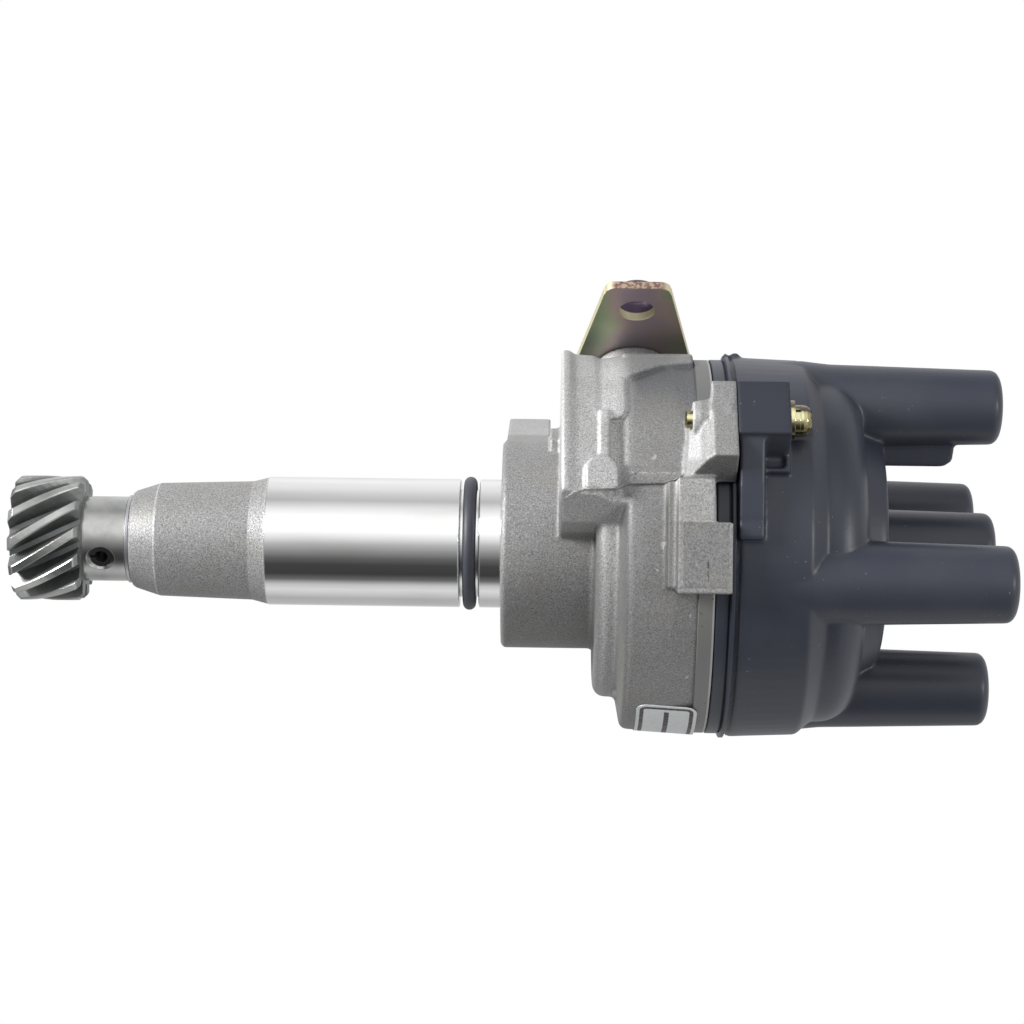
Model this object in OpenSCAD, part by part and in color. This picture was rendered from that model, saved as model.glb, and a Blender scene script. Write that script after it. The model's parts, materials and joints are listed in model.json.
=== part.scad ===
// Ignition distributor for a four cylinder engine, in millimetres.
// +Z runs up the shaft from the drive gear to the lead towers.
// The origin is on the shaft's axis, in the plane of the face that seats on the engine block.
// A clock angle is measured about the shaft from -X towards -Y.

/* [Shaft and drive gear] */
// Diameter of the shaft
shaft_d = 12; // [11:0.5:13]
// Number of teeth on the drive gear
gear_teeth = 13; // [11:1:16]
// Diameter over the teeth, a little under the pilot so that the gear passes the bore
gear_tip_d = 29; // [26:0.2:29.4]
// Diameter at the roots of the teeth
gear_root_d = 21.4; // [20.4:0.2:22.5]
// Length of the toothed part
gear_len = 16.1; // [12:0.1:20]
// Axial distance in which a tooth would go once round
gear_lead = 140; // [100:5:220]
// Diameter of the plain hub above the teeth
gear_hub_d = 19.7; // [18.5:0.1:20.5]
// Length of the plain hub
gear_hub_len = 10.1; // [9:0.1:14]
// Diameter of the spring pin through the hub
gear_pin_d = 5; // [3:0.5:6]
// Clock angle of the spring pin
gear_pin_clock = 119; // [0:1:180]
// Thickness of the thrust washer between hub and nose
thrust_washer_t = 0.7; // [0.5:0.1:1.5]
// Axial play of the shaft at each side of the thrust washer
end_float = 0.15; // [0.1:0.05:0.3]

/* [Pilot and nose] */
// Diameter of the ground pilot that fits the engine block
pilot_d = 29.8; // [29.4:0.1:32]
// Length of the pilot, from the seat to the start of the cast nose
pilot_len = 54.2; // [40:0.2:60]
// Length of the cast nose below the pilot
nose_len = 31.6; // [26:0.2:40]
// Diameter of the nose at its shoulder
nose_root_d = 27.6; // [27:0.1:28.6]
// Diameter of the nose where its end begins to round in
nose_low_d = 26.4; // [25:0.1:27]
// Diameter of the nose's end face
nose_end_d = 20.8; // [20:0.1:22]
// Height of the nose's rounded end
nose_round_len = 7.6; // [5:0.1:9]
// Thickness of the O-ring's section
oring_section = 3; // [2.5:0.1:3.4]
// Distance from the seat to the O-ring's groove
oring_land = 5.2; // [3:0.1:8]
// Height of the O-ring's groove
oring_groove_len = 4.4; // [3.8:0.1:5]
// How far the O-ring stands out of the pilot
oring_proud = 0.6; // [0.3:0.1:0.8]

/* [Neck and hold-down ear] */
// Diameter of the neck above the seat
neck_d = 48.2; // [47:0.2:52]
// Height of the neck
neck_len = 21.3; // [20.5:0.1:26]
// Thickness of the hold-down ear
ear_t = 10.2; // [7:0.1:12]
// Height of the ear's lower face above the seat
ear_lift = 0.8; // [0.5:0.1:4]
// Radius of the ear's round end
ear_end_r = 10.7; // [10:0.1:12]
// Distance from the shaft's axis to the hold-down slot
ear_reach = 54; // [53:0.5:60]
// Clock angle of the ear
ear_clock = 292.5; // [285:0.5:295]
// Width of the hold-down slot
slot_w = 8.6; // [7:0.1:10]
// Half of the angle through which the distributor can be turned on its bolt
slot_swing = 4; // [2:0.5:5]

/* [Bowl] */
// Diameter of the step under the bowl
step_d = 70.4; // [68:0.2:74]
// Height of the step
step_len = 5.4; // [4:0.1:8]
// Diameter of the bowl at its lower edge
bowl_low_d = 85.2; // [84.4:0.2:86.4]
// Diameter of the bowl at its machined rim
rim_d = 87; // [86.6:0.2:88]
// Height of the bowl, from the step to the rim
bowl_len = 20.4; // [20:0.1:26]
// Height of the machined rim band
rim_band = 3.7; // [2:0.1:5]
// Thickness of the bowl's wall and floor
bowl_wall = 3.4; // [3:0.1:3.6]
// Diameter of the thick shoulder on one side of the bowl
shoulder_d = 88.4; // [87.4:0.2:89.4]
// Height of the shoulder's lower face above the seat
shoulder_z = 13.3; // [12.5:0.1:17]

/* [Bearing] */
// Outside diameter of the ball bearing
bearing_od = 32; // [30:1:33]
// Width of the ball bearing
bearing_w = 10; // [8:1:10]
// Height of the bearing's lower face above the seat
bearing_z = 7; // [6.8:0.1:8]
// Number of balls
ball_count = 7; // [6:1:8]
// Diameter of a ball
ball_d = 5.95; // [5:0.05:6]
// Length of the bush in the nose
bush_len = 22; // [12:1:30]
// Wall of the bush in the nose
bush_wall = 2; // [1.5:0.1:2.2]

/* [Sensor] */
// Room between the slotted disc and the wall of the bowl
disc_margin = 8.7; // [8.2:0.1:11]
// Thickness of the slotted disc
disc_t = 0.6; // [0.4:0.1:1]
// Number of cylinders, each with one window and one tower
cylinders = 4; // [3:1:6]
// Width of the optical sensor
sensor_w = 22; // [16:1:24]
// Gap in which the slotted disc runs
sensor_gap = 2.6; // [2:0.1:3]

/* [Cap] */
// Height of the plain band at the cap's foot
cap_band_len = 3.2; // [2.5:0.1:4]
// Height of the bead above that band
cap_bead_len = 2; // [1.6:0.1:3]
// Diameter of the bead
cap_bead_d = 88.6; // [87:0.2:88.8]
// Diameter of the main wall at its foot
cap_d = 88; // [86:0.2:88.4]
// Height of the main wall above the bead
cap_wall_len = 16; // [14:0.1:20]
// Height of the cone above the main wall
cap_cone_len = 3.4; // [2:0.1:5]
// Diameter of the drum above the cone
drum_d = 80.6; // [78:0.2:84]
// Height of the drum with its round edge
drum_len = 9.7; // [9:0.1:14]
// Radius of the drum's round edge
drum_round = 8; // [6:0.1:9]
// Diameter of the crown at its foot
crown_d = 59; // [54:0.5:62]
// Height of the crown
crown_len = 5.2; // [4:0.1:7]
// Thickness of the cap's wall
cap_wall = 3; // [2.6:0.1:3.4]
// Distance from the axis to each outer tower
tower_pcd_r = 33.6; // [32:0.1:34]
// Clock angle of the first tower
tower_clock = 13; // [0:1:45]
// Diameter of a tower at its foot
tower_foot_d = 18.5; // [17.6:0.1:19]
// Diameter of a tower at its top
tower_top_d = 17.1; // [16:0.1:17.6]
// Height of the towers above the crown's foot
tower_len = 32.5; // [28:0.5:40]
// Diameter of a lead socket
socket_d = 8.6; // [8:0.1:9]
// Depth of a lead socket
socket_depth = 18.5; // [15:0.5:20]

/* [Cap fixing] */
// Distance from the axis to a cap screw
cap_screw_r = 47.6; // [47.4:0.1:49]
// Clock angle of the first cap screw
cap_screw_clock = 54.4; // [50:0.2:60]
// Diameter of a cap screw
cap_screw_d = 4; // [3:0.5:5]
// Width of the lug on the cap
lug_w = 14.5; // [12:0.1:16]
// Height of the lug on the cap
lug_len = 11.6; // [8:0.1:12]
// How far a lug reaches beyond its screw
lug_margin = 5; // [4:0.1:6]

/* [Wire bracket] */
// Clock angle of the bracket's boss
bracket_clock = -27.4; // [-40:0.2:-20]
// Distance from the axis to the bracket's seat
bracket_seat_r = 48.9; // [47.4:0.1:50]
// Thickness of the bracket's plate
bracket_t = 1.9; // [1.5:0.1:3]
// Width of the bracket at its seat
bracket_root_w = 28; // [24:0.5:30]
// Width of the bracket at its tip
bracket_tip_w = 14.5; // [13:0.1:18]
// Distance from the boss to the bracket's tip
bracket_reach = 34.1; // [30:0.1:40]
// Distance from the boss to the bracket's hole
bracket_hole_reach = 24.5; // [20:0.1:25]
// Diameter of the bracket's hole
bracket_hole_d = 8.4; // [6:0.1:9]
// Diameter of the bracket's bolt
bracket_bolt_d = 6; // [5:1:6]
// How far the collar drawn up round the bracket's hole stands out
bracket_collar_h = 2.8; // [1:0.1:3]

/* [Connector] */
// Width of the connector's flange
plug_flange_w = 32; // [30:1:36]
// Height of the connector's flange
plug_flange_h = 18; // [17:1:20]
// Height of the connector's seat over the lower edge of the bowl
plug_seat_h = 2.9; // [2.6:0.1:4.4]
// Width of the connector's socket
plug_w = 22; // [20:1:23]
// Height of the connector's socket
plug_h = 13; // [12:1:14]
// Depth of the connector's socket
plug_depth = 13; // [10:1:16]

/* [Hidden] */
$fn = 64;

// Extra length by which a cut runs past the face that it opens
past = 1;
// Radial clearance of a shaft that turns in a hole
running = 0.04;
// Gap between parts that pass without touching
air = 0.3;

shaft_r = shaft_d / 2;
pilot_r = pilot_d / 2;
neck_r = neck_d / 2;
step_r = step_d / 2;
rim_r = rim_d / 2;
bowl_low_r = bowl_low_d / 2;
shoulder_r = shoulder_d / 2;

// Heights along the shaft, from the gear up to the towers
nose_z = -pilot_len - nose_len;
washer_z = nose_z - end_float - thrust_washer_t;
hub_top_z = washer_z - end_float;
teeth_top_z = hub_top_z - gear_hub_len;
gear_z = teeth_top_z - gear_len;
step_z = neck_len;
bowl_z = step_z + step_len;
rim_z = bowl_z + bowl_len;
bead_z = rim_z + cap_band_len;
cap_wall_z = bead_z + cap_bead_len;
cone_z = cap_wall_z + cap_wall_len;
drum_z = cone_z + cap_cone_len;
crown_z = drum_z + drum_len;
tower_top_z = crown_z + tower_len;

// The O-ring's groove
groove_top_z = -oring_land;
groove_bottom_z = groove_top_z - oring_groove_len;
oring_outer_r = pilot_r + oring_proud;
groove_r = oring_outer_r - oring_section;

// Inside of the bowl
bearing_r = bearing_od / 2;
bearing_top_z = bearing_z + bearing_w;
well_r = neck_r - bowl_wall;
floor_z = step_z + bowl_wall;
step_inner_r = step_r - bowl_wall;
ledge_z = bowl_z + bowl_wall;
bowl_inner_r = bowl_low_r - bowl_wall;
disc_d = 2 * (bowl_inner_r - disc_margin);
seal_r = 12.5;
seal_len = bearing_z - 1;
relief_r = shaft_r + 3;

// The cap's screws and lugs
cap_screw_clocks = [cap_screw_clock, cap_screw_clock + 180];
lug_r = cap_screw_r + lug_margin;
lug_z = cap_wall_z - 0.9;
lug_top_z = lug_z + lug_len;
flat_washer_t = 1;
flat_washer_d = 9;
spring_washer_t = 1.2;
screw_seat_z = lug_top_z + flat_washer_t + spring_washer_t;
screw_tip_z = lug_z - 11.2;
screw_boss_z = screw_tip_z + 1.6;

// The plane of the slotted disc and what sits on it
plate_t = 1.5;
disc_hub_r = 10;
disc_z = rim_z - 11.7;
shield_z = rim_z - 4.6;
shield_t = 1.6;
shield_r = bowl_inner_r + 0.7;
shield_hole_r = 11;
post_r = 3.4;
post_reach = bowl_inner_r - post_r - 0.4;
post_clocks = [100, 220, 340];
plate_screw_reach = post_reach;
plate_screw_clocks = [40, 160, 280];
sensor_clock = 190;
sensor_in_r = disc_d / 2 - 8;
sensor_out_r = disc_d / 2 + 4.6;

// The rotor and what it touches
rotor_clock = tower_clock;
rotor_foot_z = disc_z + disc_t + 3;
rotor_top_z = rim_z + 14.3;
electrode_t = 1.2;
electrode_top_z = rotor_top_z + electrode_t;
post_tip_z = rotor_top_z - 1.5;
terminal_r = 3;
spark_gap = 0.8;
electrode_r = tower_pcd_r - terminal_r - spark_gap;
shaft_top_z = rotor_top_z - 4;

// The terminals and the carbon brush
socket_z = tower_top_z - socket_depth;
head_r = socket_d / 2 - 0.4;
head_z = socket_z - 10;
brush_r = 2.45;
brush_len = 12;
brush_z = electrode_top_z + 0.1;
brush_travel = 1.5;
guide_z = brush_z + 7.4;
guide_top_z = brush_z + brush_len + 8;

// Points of an arc about (cx, cy), as [x, y] pairs
function arc(cx, cy, r, from, to, steps = 6) =
    [for (i = [0:steps]) let (a = from + (to - from) * i / steps) [cx + r * cos(a), cy + r * sin(a)]];

// Turns a piece that is drawn along +X to its clock angle
module at_clock(clock) {
    rotate([0, 0, 180 + clock])
        children();
}

// A ring between two radii, from z to z + height
module ring(outer, inner, z, height) {
    translate([0, 0, z])
        difference() {
            cylinder(r = outer, h = height);
            translate([0, 0, -past])
                cylinder(r = inner, h = height + 2 * past);
        }
}

// A plain cylinder from z to z + height
module rod(r, z, height) {
    translate([0, 0, z])
        cylinder(r = r, h = height);
}

// A domed screw with a shank that points down, its head's seat at z = 0
module pan_screw(shank_d, shank_len, head_d, head_h) {
    head_round = head_h * 0.75;
    rotate_extrude()
        polygon(concat(
            [[0, -shank_len], [shank_d / 2 - 0.4, -shank_len], [shank_d / 2, -shank_len + 0.4],
             [shank_d / 2, 0], [head_d / 2, 0]],
            arc(head_d / 2 - head_round, head_h - head_round, head_round, 0, 90, 4),
            [[0, head_h]]));
}

// HOUSING

// Outside of the turned and cast body, as points [radius, z]
function body_profile(grow = 0) = concat(
    [[0, nose_z]],
    [for (p = nose_arc()) p],
    [[nose_root_d / 2, -pilot_len - 4], [nose_root_d / 2 + 0.5, -pilot_len - 1.8],
     [pilot_r, -pilot_len], [pilot_r, groove_bottom_z], [groove_r, groove_bottom_z],
     [groove_r, groove_top_z], [pilot_r, groove_top_z], [pilot_r, 0],
     [neck_r - 0.8, 0], [neck_r + grow, 0.8]],
    arc(neck_r + grow + 1, step_z - 1, 1, 180, 90, 3),
    arc(step_r + grow - 2.8, step_z + 2.8, 2.8, -90, 0, 4),
    arc(step_r + grow + 1.2, bowl_z - 1.2, 1.2, 180, 90, 3),
    arc(bowl_low_r + grow - 1.8, bowl_z + 1.8, 1.8, -90, 0, 4),
    [[rim_r + grow, rim_z - rim_band], [rim_r + grow - 0.25, rim_z - rim_band + 0.1],
     [rim_r + grow - 0.25, rim_z - 0.3], [rim_r - 0.55, rim_z], [0, rim_z]]);

// The nose's rounded end, one arc from the end face to the cast taper
function nose_arc() =
    let (dip = (nose_low_d - nose_end_d) / 2,
         half = atan(dip / nose_round_len),
         r = nose_round_len / sin(2 * half))
    arc(nose_low_d / 2 - r, nose_z + nose_round_len, r, -2 * half, 0, 5);

// Cuts of the body along the shaft, as points [radius, z]
function body_bore() = [
    [0, nose_z - past], [shaft_r + bush_wall, nose_z - past],
    [shaft_r + bush_wall, nose_z + bush_len], [relief_r, nose_z + bush_len + 1],
    [relief_r, 0], [seal_r, 0], [seal_r, bearing_z], [bearing_r, bearing_z],
    [bearing_r, bearing_top_z], [well_r, bearing_top_z], [well_r, floor_z],
    [step_inner_r, floor_z], [step_inner_r, ledge_z], [bowl_inner_r, ledge_z],
    [bowl_inner_r, shield_z], [shield_r, shield_z], [shield_r, rim_z + past], [0, rim_z + past]];

// The thick shoulder that carries the bowl on the ear's side
module shoulder() {
    valley_r = shoulder_r - 2.6;
    lip = 1;
    intersection() {
        rotate_extrude()
            polygon([
                [neck_r - 5, shoulder_z], [shoulder_r + lip - 0.5, shoulder_z],
                [shoulder_r + lip, shoulder_z + 0.6], [shoulder_r + lip, shoulder_z + 1.6],
                [shoulder_r, shoulder_z + 3.2], [shoulder_r - 0.2, shoulder_z + 7.4],
                [shoulder_r - 1.2, shoulder_z + 9.4], [valley_r, shoulder_z + 11],
                [valley_r, shoulder_z + 13], [bowl_low_r + 0.1, shoulder_z + 15],
                [bowl_inner_r + 1, shoulder_z + 16.5], [neck_r - 5, shoulder_z + 16.5]]);
        // The lower end of the shoulder leans in from the bowl to the neck
        translate([0, 0, shoulder_z - past])
            linear_extrude(height = 20)
                polygon([
                    [-12.3, -shoulder_r], [-5, -step_r], [-1.5, -neck_r], [0, 0],
                    [12, neck_r], [14, shoulder_r + 4], [-shoulder_r - 4, shoulder_r + 4],
                    [-shoulder_r - 4, -shoulder_r - 4], [-12.3, -shoulder_r - 4]]);
    }
}

// The ear that the hold-down bolt clamps, drawn round the shaft's axis
module hold_down_ear() {
    reach_angle = acos((neck_r - ear_end_r) / ear_reach);
    touch = [cos(reach_angle), sin(reach_angle)];
    at_clock(ear_clock)
        translate([0, 0, ear_lift])
            linear_extrude(height = ear_t) {
                circle(r = neck_r - 0.2);
                translate([ear_reach, 0])
                    circle(r = ear_end_r);
                polygon([
                    [neck_r * touch[0] * 0.99, neck_r * touch[1] * 0.99],
                    [ear_reach + ear_end_r * touch[0], ear_end_r * touch[1]],
                    [ear_reach + ear_end_r * touch[0], -ear_end_r * touch[1]],
                    [neck_r * touch[0] * 0.99, -neck_r * touch[1] * 0.99]]);
            }
    // A half collar joins the ear to the shoulder
    translate([0, 0, ear_lift + ear_t - 0.1])
        linear_extrude(height = shoulder_z - ear_lift - ear_t + 0.2)
            intersection() {
                circle(r = neck_r + 2.9);
                translate([-60, -12])
                    square([55, 72]);
            }
}

// The slot that lets the distributor be turned on its bolt
module hold_down_slot() {
    at_clock(ear_clock)
        translate([0, 0, ear_lift - past])
            linear_extrude(height = shoulder_z - ear_lift + past)
                union() {
                    intersection() {
                        difference() {
                            circle(r = ear_reach + slot_w / 2);
                            circle(r = ear_reach - slot_w / 2);
                        }
                        polygon([[0, 0], [80 * cos(slot_swing), -80 * sin(slot_swing)],
                                 [80 * cos(slot_swing), 80 * sin(slot_swing)]]);
                    }
                    // The round ends are a touch narrower, so that they cut the sides cleanly
                    for (a = [-slot_swing, slot_swing])
                        rotate(a)
                            translate([ear_reach, 0])
                                circle(d = slot_w - 0.1);
                }
}

// The ear that takes a cap screw, from one side to the other across its screw
ear_side = lug_w / 2 - 0.05;
first_ear_side = 13.4;
ear_plate_t = 5.6;
screw_boss_r = 3.9;
ear_web_w = 6.8;
module screw_ear(far_side) {
    translate([bowl_inner_r + 1.5, -ear_side, lug_z - ear_plate_t])
        cube([lug_r - bowl_inner_r - 1.5, ear_side + far_side, ear_plate_t]);
    translate([cap_screw_r, 0, screw_boss_z])
        cylinder(r1 = screw_boss_r, r2 = screw_boss_r + 1.6, h = lug_z - 1 - screw_boss_z);
    // Webs carry the ear and the boss down to the bowl
    translate([bowl_inner_r + 1, 0, 0])
        rotate([90, 0, 0])
            translate([0, 0, -ear_web_w / 2])
                linear_extrude(height = ear_web_w)
                    polygon([[0, screw_boss_z - 1], [3.2, screw_boss_z - 1],
                             [cap_screw_r - bowl_inner_r - 1, screw_boss_z],
                             [cap_screw_r - bowl_inner_r - 1, lug_z - 5], [0, lug_z - 5]]);
}

// The flare that runs on from the first ear, beside its screw
module ear_flare(far_side) {
    translate([bowl_inner_r + 1, 0, 0])
        rotate([90, 0, 0])
            translate([0, 0, -far_side])
                linear_extrude(height = far_side - ear_web_w / 2)
                    polygon([[0, lug_z - 11.5], [2.4, lug_z - 11.5], [lug_r - bowl_inner_r - 3, lug_z - 7],
                             [lug_r - bowl_inner_r - 1, lug_z - 5], [0, lug_z - 5]]);
}

// The block on the rim that locates the cap, flat on its outer face
module locating_block() {
    face_r = 48.4;
    low = -10.2;
    high = 14.9;
    tab_high = 5.3;
    block_z = rim_z - 8.6;
    translate([-high, -face_r, block_z])
        cube([high - low, face_r - bowl_inner_r + 4, rim_z - 0.6 - block_z]);
    translate([-tab_high, -face_r, block_z])
        cube([tab_high - low, face_r - bowl_inner_r + 4, rim_z + 3.3 - block_z]);
    // A lower step carries the block down to the bowl
    translate([-high + 1, -46.2, block_z - 2.1])
        cube([high - low - 2, 46.2 - bowl_inner_r + 4, 2.2]);
}

// The boss that the wire bracket is bolted to
bracket_boss_r = 8.6;
bracket_boss_z = shoulder_z + 17.4;
bracket_pad_r = rim_r + 1.1;
bracket_pad_from = -24;
bracket_pad_to = 39.4;
module bracket_boss() {
    // A raised pad round the boss
    intersection() {
        ring(bracket_pad_r, bowl_inner_r + 1, bowl_z + 1, bowl_len - rim_band - 1);
        at_clock(bracket_clock)
            translate([0, 0, bowl_z])
                linear_extrude(height = bowl_len)
                    polygon([[0, 0], [60, 60 * tan(bracket_pad_from)], [60, 60 * tan(bracket_pad_to)]]);
    }
    at_clock(bracket_clock)
        translate([bowl_inner_r + 1, 0, bracket_boss_z])
            rotate([0, 90, 0])
                cylinder(r1 = bracket_boss_r + 3, r2 = bracket_boss_r, h = bracket_seat_r - bowl_inner_r - 1);
}

// The flat pad that the connector is screwed to, with the window behind it
plug_clock = 263;
plug_z = bowl_z + 9.2;
plug_seat_r = bowl_low_r + plug_seat_h;
plug_screw_d = 2.6;
plug_head_d = 4.4;
plug_screw_pitch = plug_w / 2 + plug_head_d / 2 + 0.2;
plug_screw_depth = 5;
plug_window_w = plug_w - 5;
plug_window_h = plug_h - 4;
module connector_pad() {
    at_clock(plug_clock)
        translate([bowl_inner_r - 4, -plug_flange_w / 2, plug_z - plug_flange_h / 2])
            cube([plug_seat_r - bowl_inner_r + 4, plug_flange_w, plug_flange_h]);
}

// Raised strip where the two halves of the die met
module parting_strip() {
    strip_low = 13.7;
    strip_high = 17;
    intersection() {
        rotate_extrude()
            polygon(concat([[20, shoulder_z + 8]],
                [for (p = body_profile(0.7)) if (p[1] > bowl_z - 0.5 && p[1] < rim_z - rim_band - 3 && p[0] > 20) p],
                [[bowl_low_r + 1, rim_z - rim_band - 4], [20, rim_z - rim_band - 4]]));
        translate([-strip_high, -50, bowl_z])
            cube([strip_high - strip_low, 20, 20]);
    }
}

// Pad and rib on the front of the shoulder
module shoulder_pad() {
    intersection() {
        ring(shoulder_r + 1.3, bowl_inner_r - 6, shoulder_z + 5.2, 7.3);
        translate([-16, 0, shoulder_z + 8.8])
            rotate([90, 0, 0])
                linear_extrude(height = 60) {
                    circle(r = 3.65);
                    translate([0, -3.65])
                        square([3.7, 7.3]);
                }
    }
    intersection() {
        ring(shoulder_r + 0.5, bowl_inner_r - 6, shoulder_z + 8.4, 2.2);
        translate([-30, -60, shoulder_z])
            cube([16, 60, 20]);
    }
}

// Thick metal between the shoulder and the bowl, above the pad
module valley_fill() {
    fill_r = bowl_low_r + 0.8;
    fill_z = shoulder_z + 9.2;
    fill_len = 5;
    fill_end = -30.5;
    intersection() {
        ring(fill_r, bowl_inner_r - 6, fill_z, fill_len);
        translate([fill_end, 0, fill_z + fill_len / 2])
            rotate([90, 0, 0])
                linear_extrude(height = 60) {
                    circle(d = fill_len + 0.1);
                    translate([-30, -fill_len])
                        square([30, 2 * fill_len]);
                }
    }
}

module housing() {
    color("silver")
        difference() {
            union() {
                difference() {
                    union() {
                        rotate_extrude()
                            polygon(body_profile());
                        shoulder();
                        shoulder_pad();
                        valley_fill();
                        parting_strip();
                        hold_down_ear();
                        at_clock(cap_screw_clocks[0]) {
                            screw_ear(first_ear_side);
                            ear_flare(first_ear_side);
                        }
                        at_clock(cap_screw_clocks[1])
                            screw_ear(ear_side);
                        locating_block();
                        bracket_boss();
                        connector_pad();
                    }
                    rotate_extrude()
                        polygon(body_bore());
                    // Room for the foot of the cap inside the ears and the block
                    rod(cap_bead_d / 2 + air, rim_z, 20);
                    hold_down_slot();
                }
                // Posts that carry the dust shield
                for (a = post_clocks)
                    at_clock(a)
                        translate([post_reach, 0, ledge_z - 0.5])
                            cylinder(r = post_r, h = shield_z - ledge_z + 0.5);
            }
            for (a = post_clocks)
                at_clock(a)
                    translate([post_reach, 0, shield_z - shield_screw_len + shield_t])
                        cylinder(d = small_screw_d, h = shield_screw_len);
            for (a = plate_screw_clocks)
                at_clock(a)
                    translate([plate_screw_reach, 0, ledge_z + plate_t - plate_screw_len])
                        cylinder(d = small_screw_d, h = plate_screw_len);
            for (a = retainer_clocks)
                at_clock(a)
                    translate([retainer_screw_reach, 0, bearing_top_z + plate_t - plate_screw_len])
                        cylinder(d = small_screw_d, h = plate_screw_len);
            for (a = cap_screw_clocks)
                at_clock(a)
                    translate([cap_screw_r, 0, screw_boss_z - past])
                        cylinder(d = cap_screw_d, h = 20);
            at_clock(bracket_clock)
                translate([bracket_seat_r - bracket_bolt_depth, 0, bracket_boss_z])
                    rotate([0, 90, 0])
                        cylinder(d = bracket_bolt_d, h = bracket_bolt_depth + past);
            at_clock(plug_clock)
                translate([bowl_inner_r - 8, 0, plug_z]) {
                    translate([0, -plug_window_w / 2, -plug_window_h / 2])
                        cube([30, plug_window_w, plug_window_h]);
                    for (s = [-1, 1])
                        translate([plug_seat_r - bowl_inner_r + 8 - plug_screw_depth, s * plug_screw_pitch, 0])
                            rotate([0, 90, 0])
                                cylinder(d = plug_screw_d, h = plug_screw_depth + past);
                }
            // Groove in the rim for the cap's gasket
            ring(gasket_outer_r, gasket_inner_r, rim_z - gasket_t, gasket_t + past);
        }
}

// SEALS, BUSH AND BEARING

module pilot_o_ring() {
    color("#222222")
        translate([0, 0, (groove_top_z + groove_bottom_z) / 2])
            rotate_extrude()
                translate([oring_outer_r - oring_section / 2, 0])
                    circle(d = oring_section);
}

module lower_bush() {
    color("#b08040")
        ring(shaft_r + bush_wall, shaft_r + running, nose_z, bush_len);
}

module oil_seal() {
    lip = shaft_r + 0.05;
    color("#333333")
        rotate_extrude()
            polygon([
                [lip, 2], [shaft_r + 1.6, 0.4], [shaft_r + 3.4, 0.4], [shaft_r + 3.4, 0],
                [seal_r, 0], [seal_r, seal_len], [shaft_r + 4.6, seal_len],
                [shaft_r + 4.6, seal_len - 1.2], [seal_r - 1.2, seal_len - 1.2], [seal_r - 1.2, 1.4],
                [shaft_r + 1.6, 1.4], [shaft_r + 0.6, 3]]);
}

ball_r = ball_d / 2;
pitch_r = (shaft_r + bearing_r) / 2;
race_r = ball_r + 0.05;
bearing_mid_z = bearing_z + bearing_w / 2;
cage_h = ball_d + 1.6;

// One ring of the bearing between two radii, with the track for the balls
module race(outer, inner) {
    difference() {
        ring(outer, inner, bearing_z, bearing_w);
        translate([0, 0, bearing_mid_z])
            rotate_extrude()
                translate([pitch_r, 0])
                    circle(r = race_r);
    }
}

module bearing_outer_race() {
    color("#c8c8cc")
        race(bearing_r, pitch_r + ball_r * 0.7);
}

module bearing_inner_race() {
    color("#c8c8cc")
        race(pitch_r - ball_r * 0.7, shaft_r);
}

module bearing_cage() {
    color("#b09050")
        difference() {
            ring(pitch_r + 1.2, pitch_r - 1.2, bearing_mid_z - cage_h / 2, cage_h);
            for (i = [0:ball_count - 1])
                rotate([0, 0, i * 360 / ball_count])
                    translate([pitch_r, 0, bearing_mid_z])
                        sphere(r = ball_r + 0.06);
        }
}

module bearing_balls() {
    color("#d8d8dc")
        for (i = [0:ball_count - 1])
            rotate([0, 0, i * 360 / ball_count])
                translate([pitch_r, 0, bearing_mid_z])
                    sphere(r = ball_r);
}

small_screw_d = 3;
small_head_d = 5;
small_head_h = 1.9;
plate_screw_len = 5;
retainer_clocks = [20, 140, 260];
retainer_screw_reach = (bearing_r + well_r) / 2;

module bearing_retainer() {
    color("#9a9a9a")
        difference() {
            ring(well_r - 0.2, pitch_r + ball_r * 0.9, bearing_top_z, plate_t);
            for (a = retainer_clocks)
                at_clock(a)
                    translate([retainer_screw_reach, 0, bearing_top_z - past])
                        cylinder(d = small_screw_d, h = plate_t + 2 * past);
        }
}

module retainer_screws() {
    color("#b0a070")
        for (a = retainer_clocks)
            at_clock(a)
                translate([retainer_screw_reach, 0, bearing_top_z + plate_t])
                    pan_screw(small_screw_d, plate_screw_len, small_head_d - 0.6, small_head_h);
}

module snap_ring() {
    color("#606060")
        difference() {
            ring(shaft_r + 1.9, shaft_r - 0.5, bearing_top_z + 0.05, 1.1);
            translate([0, -1.5, bearing_top_z - past])
                cube([20, 3, 4]);
        }
}

// OPTICAL SENSOR

module sensor_base_plate() {
    color("#8a8f94")
        difference() {
            ring(bowl_inner_r - 0.2, disc_hub_r + 4, ledge_z, plate_t);
            for (a = post_clocks)
                at_clock(a)
                    translate([post_reach, 0, ledge_z - past])
                        cylinder(r = post_r + air, h = plate_t + 2 * past);
            for (a = plate_screw_clocks)
                at_clock(a)
                    translate([plate_screw_reach, 0, ledge_z - past])
                        cylinder(d = small_screw_d, h = plate_t + 2 * past);
            sensor_screw_holes();
        }
}

module base_plate_screws() {
    color("#b0a070")
        for (a = plate_screw_clocks)
            at_clock(a)
                translate([plate_screw_reach, 0, ledge_z + plate_t])
                    pan_screw(small_screw_d, plate_screw_len, small_head_d, small_head_h);
}

sensor_foot_z = ledge_z + plate_t;
sensor_top_z = shield_z - air;
sensor_tab = 3.4;
module sensor_screw_spots() {
    at_clock(sensor_clock)
        for (s = [-1, 1])
            translate([sensor_out_r - 4, s * (sensor_w / 2 + sensor_tab / 2), 0])
                children();
}

module sensor_screw_holes() {
    sensor_screw_spots()
        translate([0, 0, ledge_z - past])
            cylinder(d = 2, h = plate_t + 2 * past);
}

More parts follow.
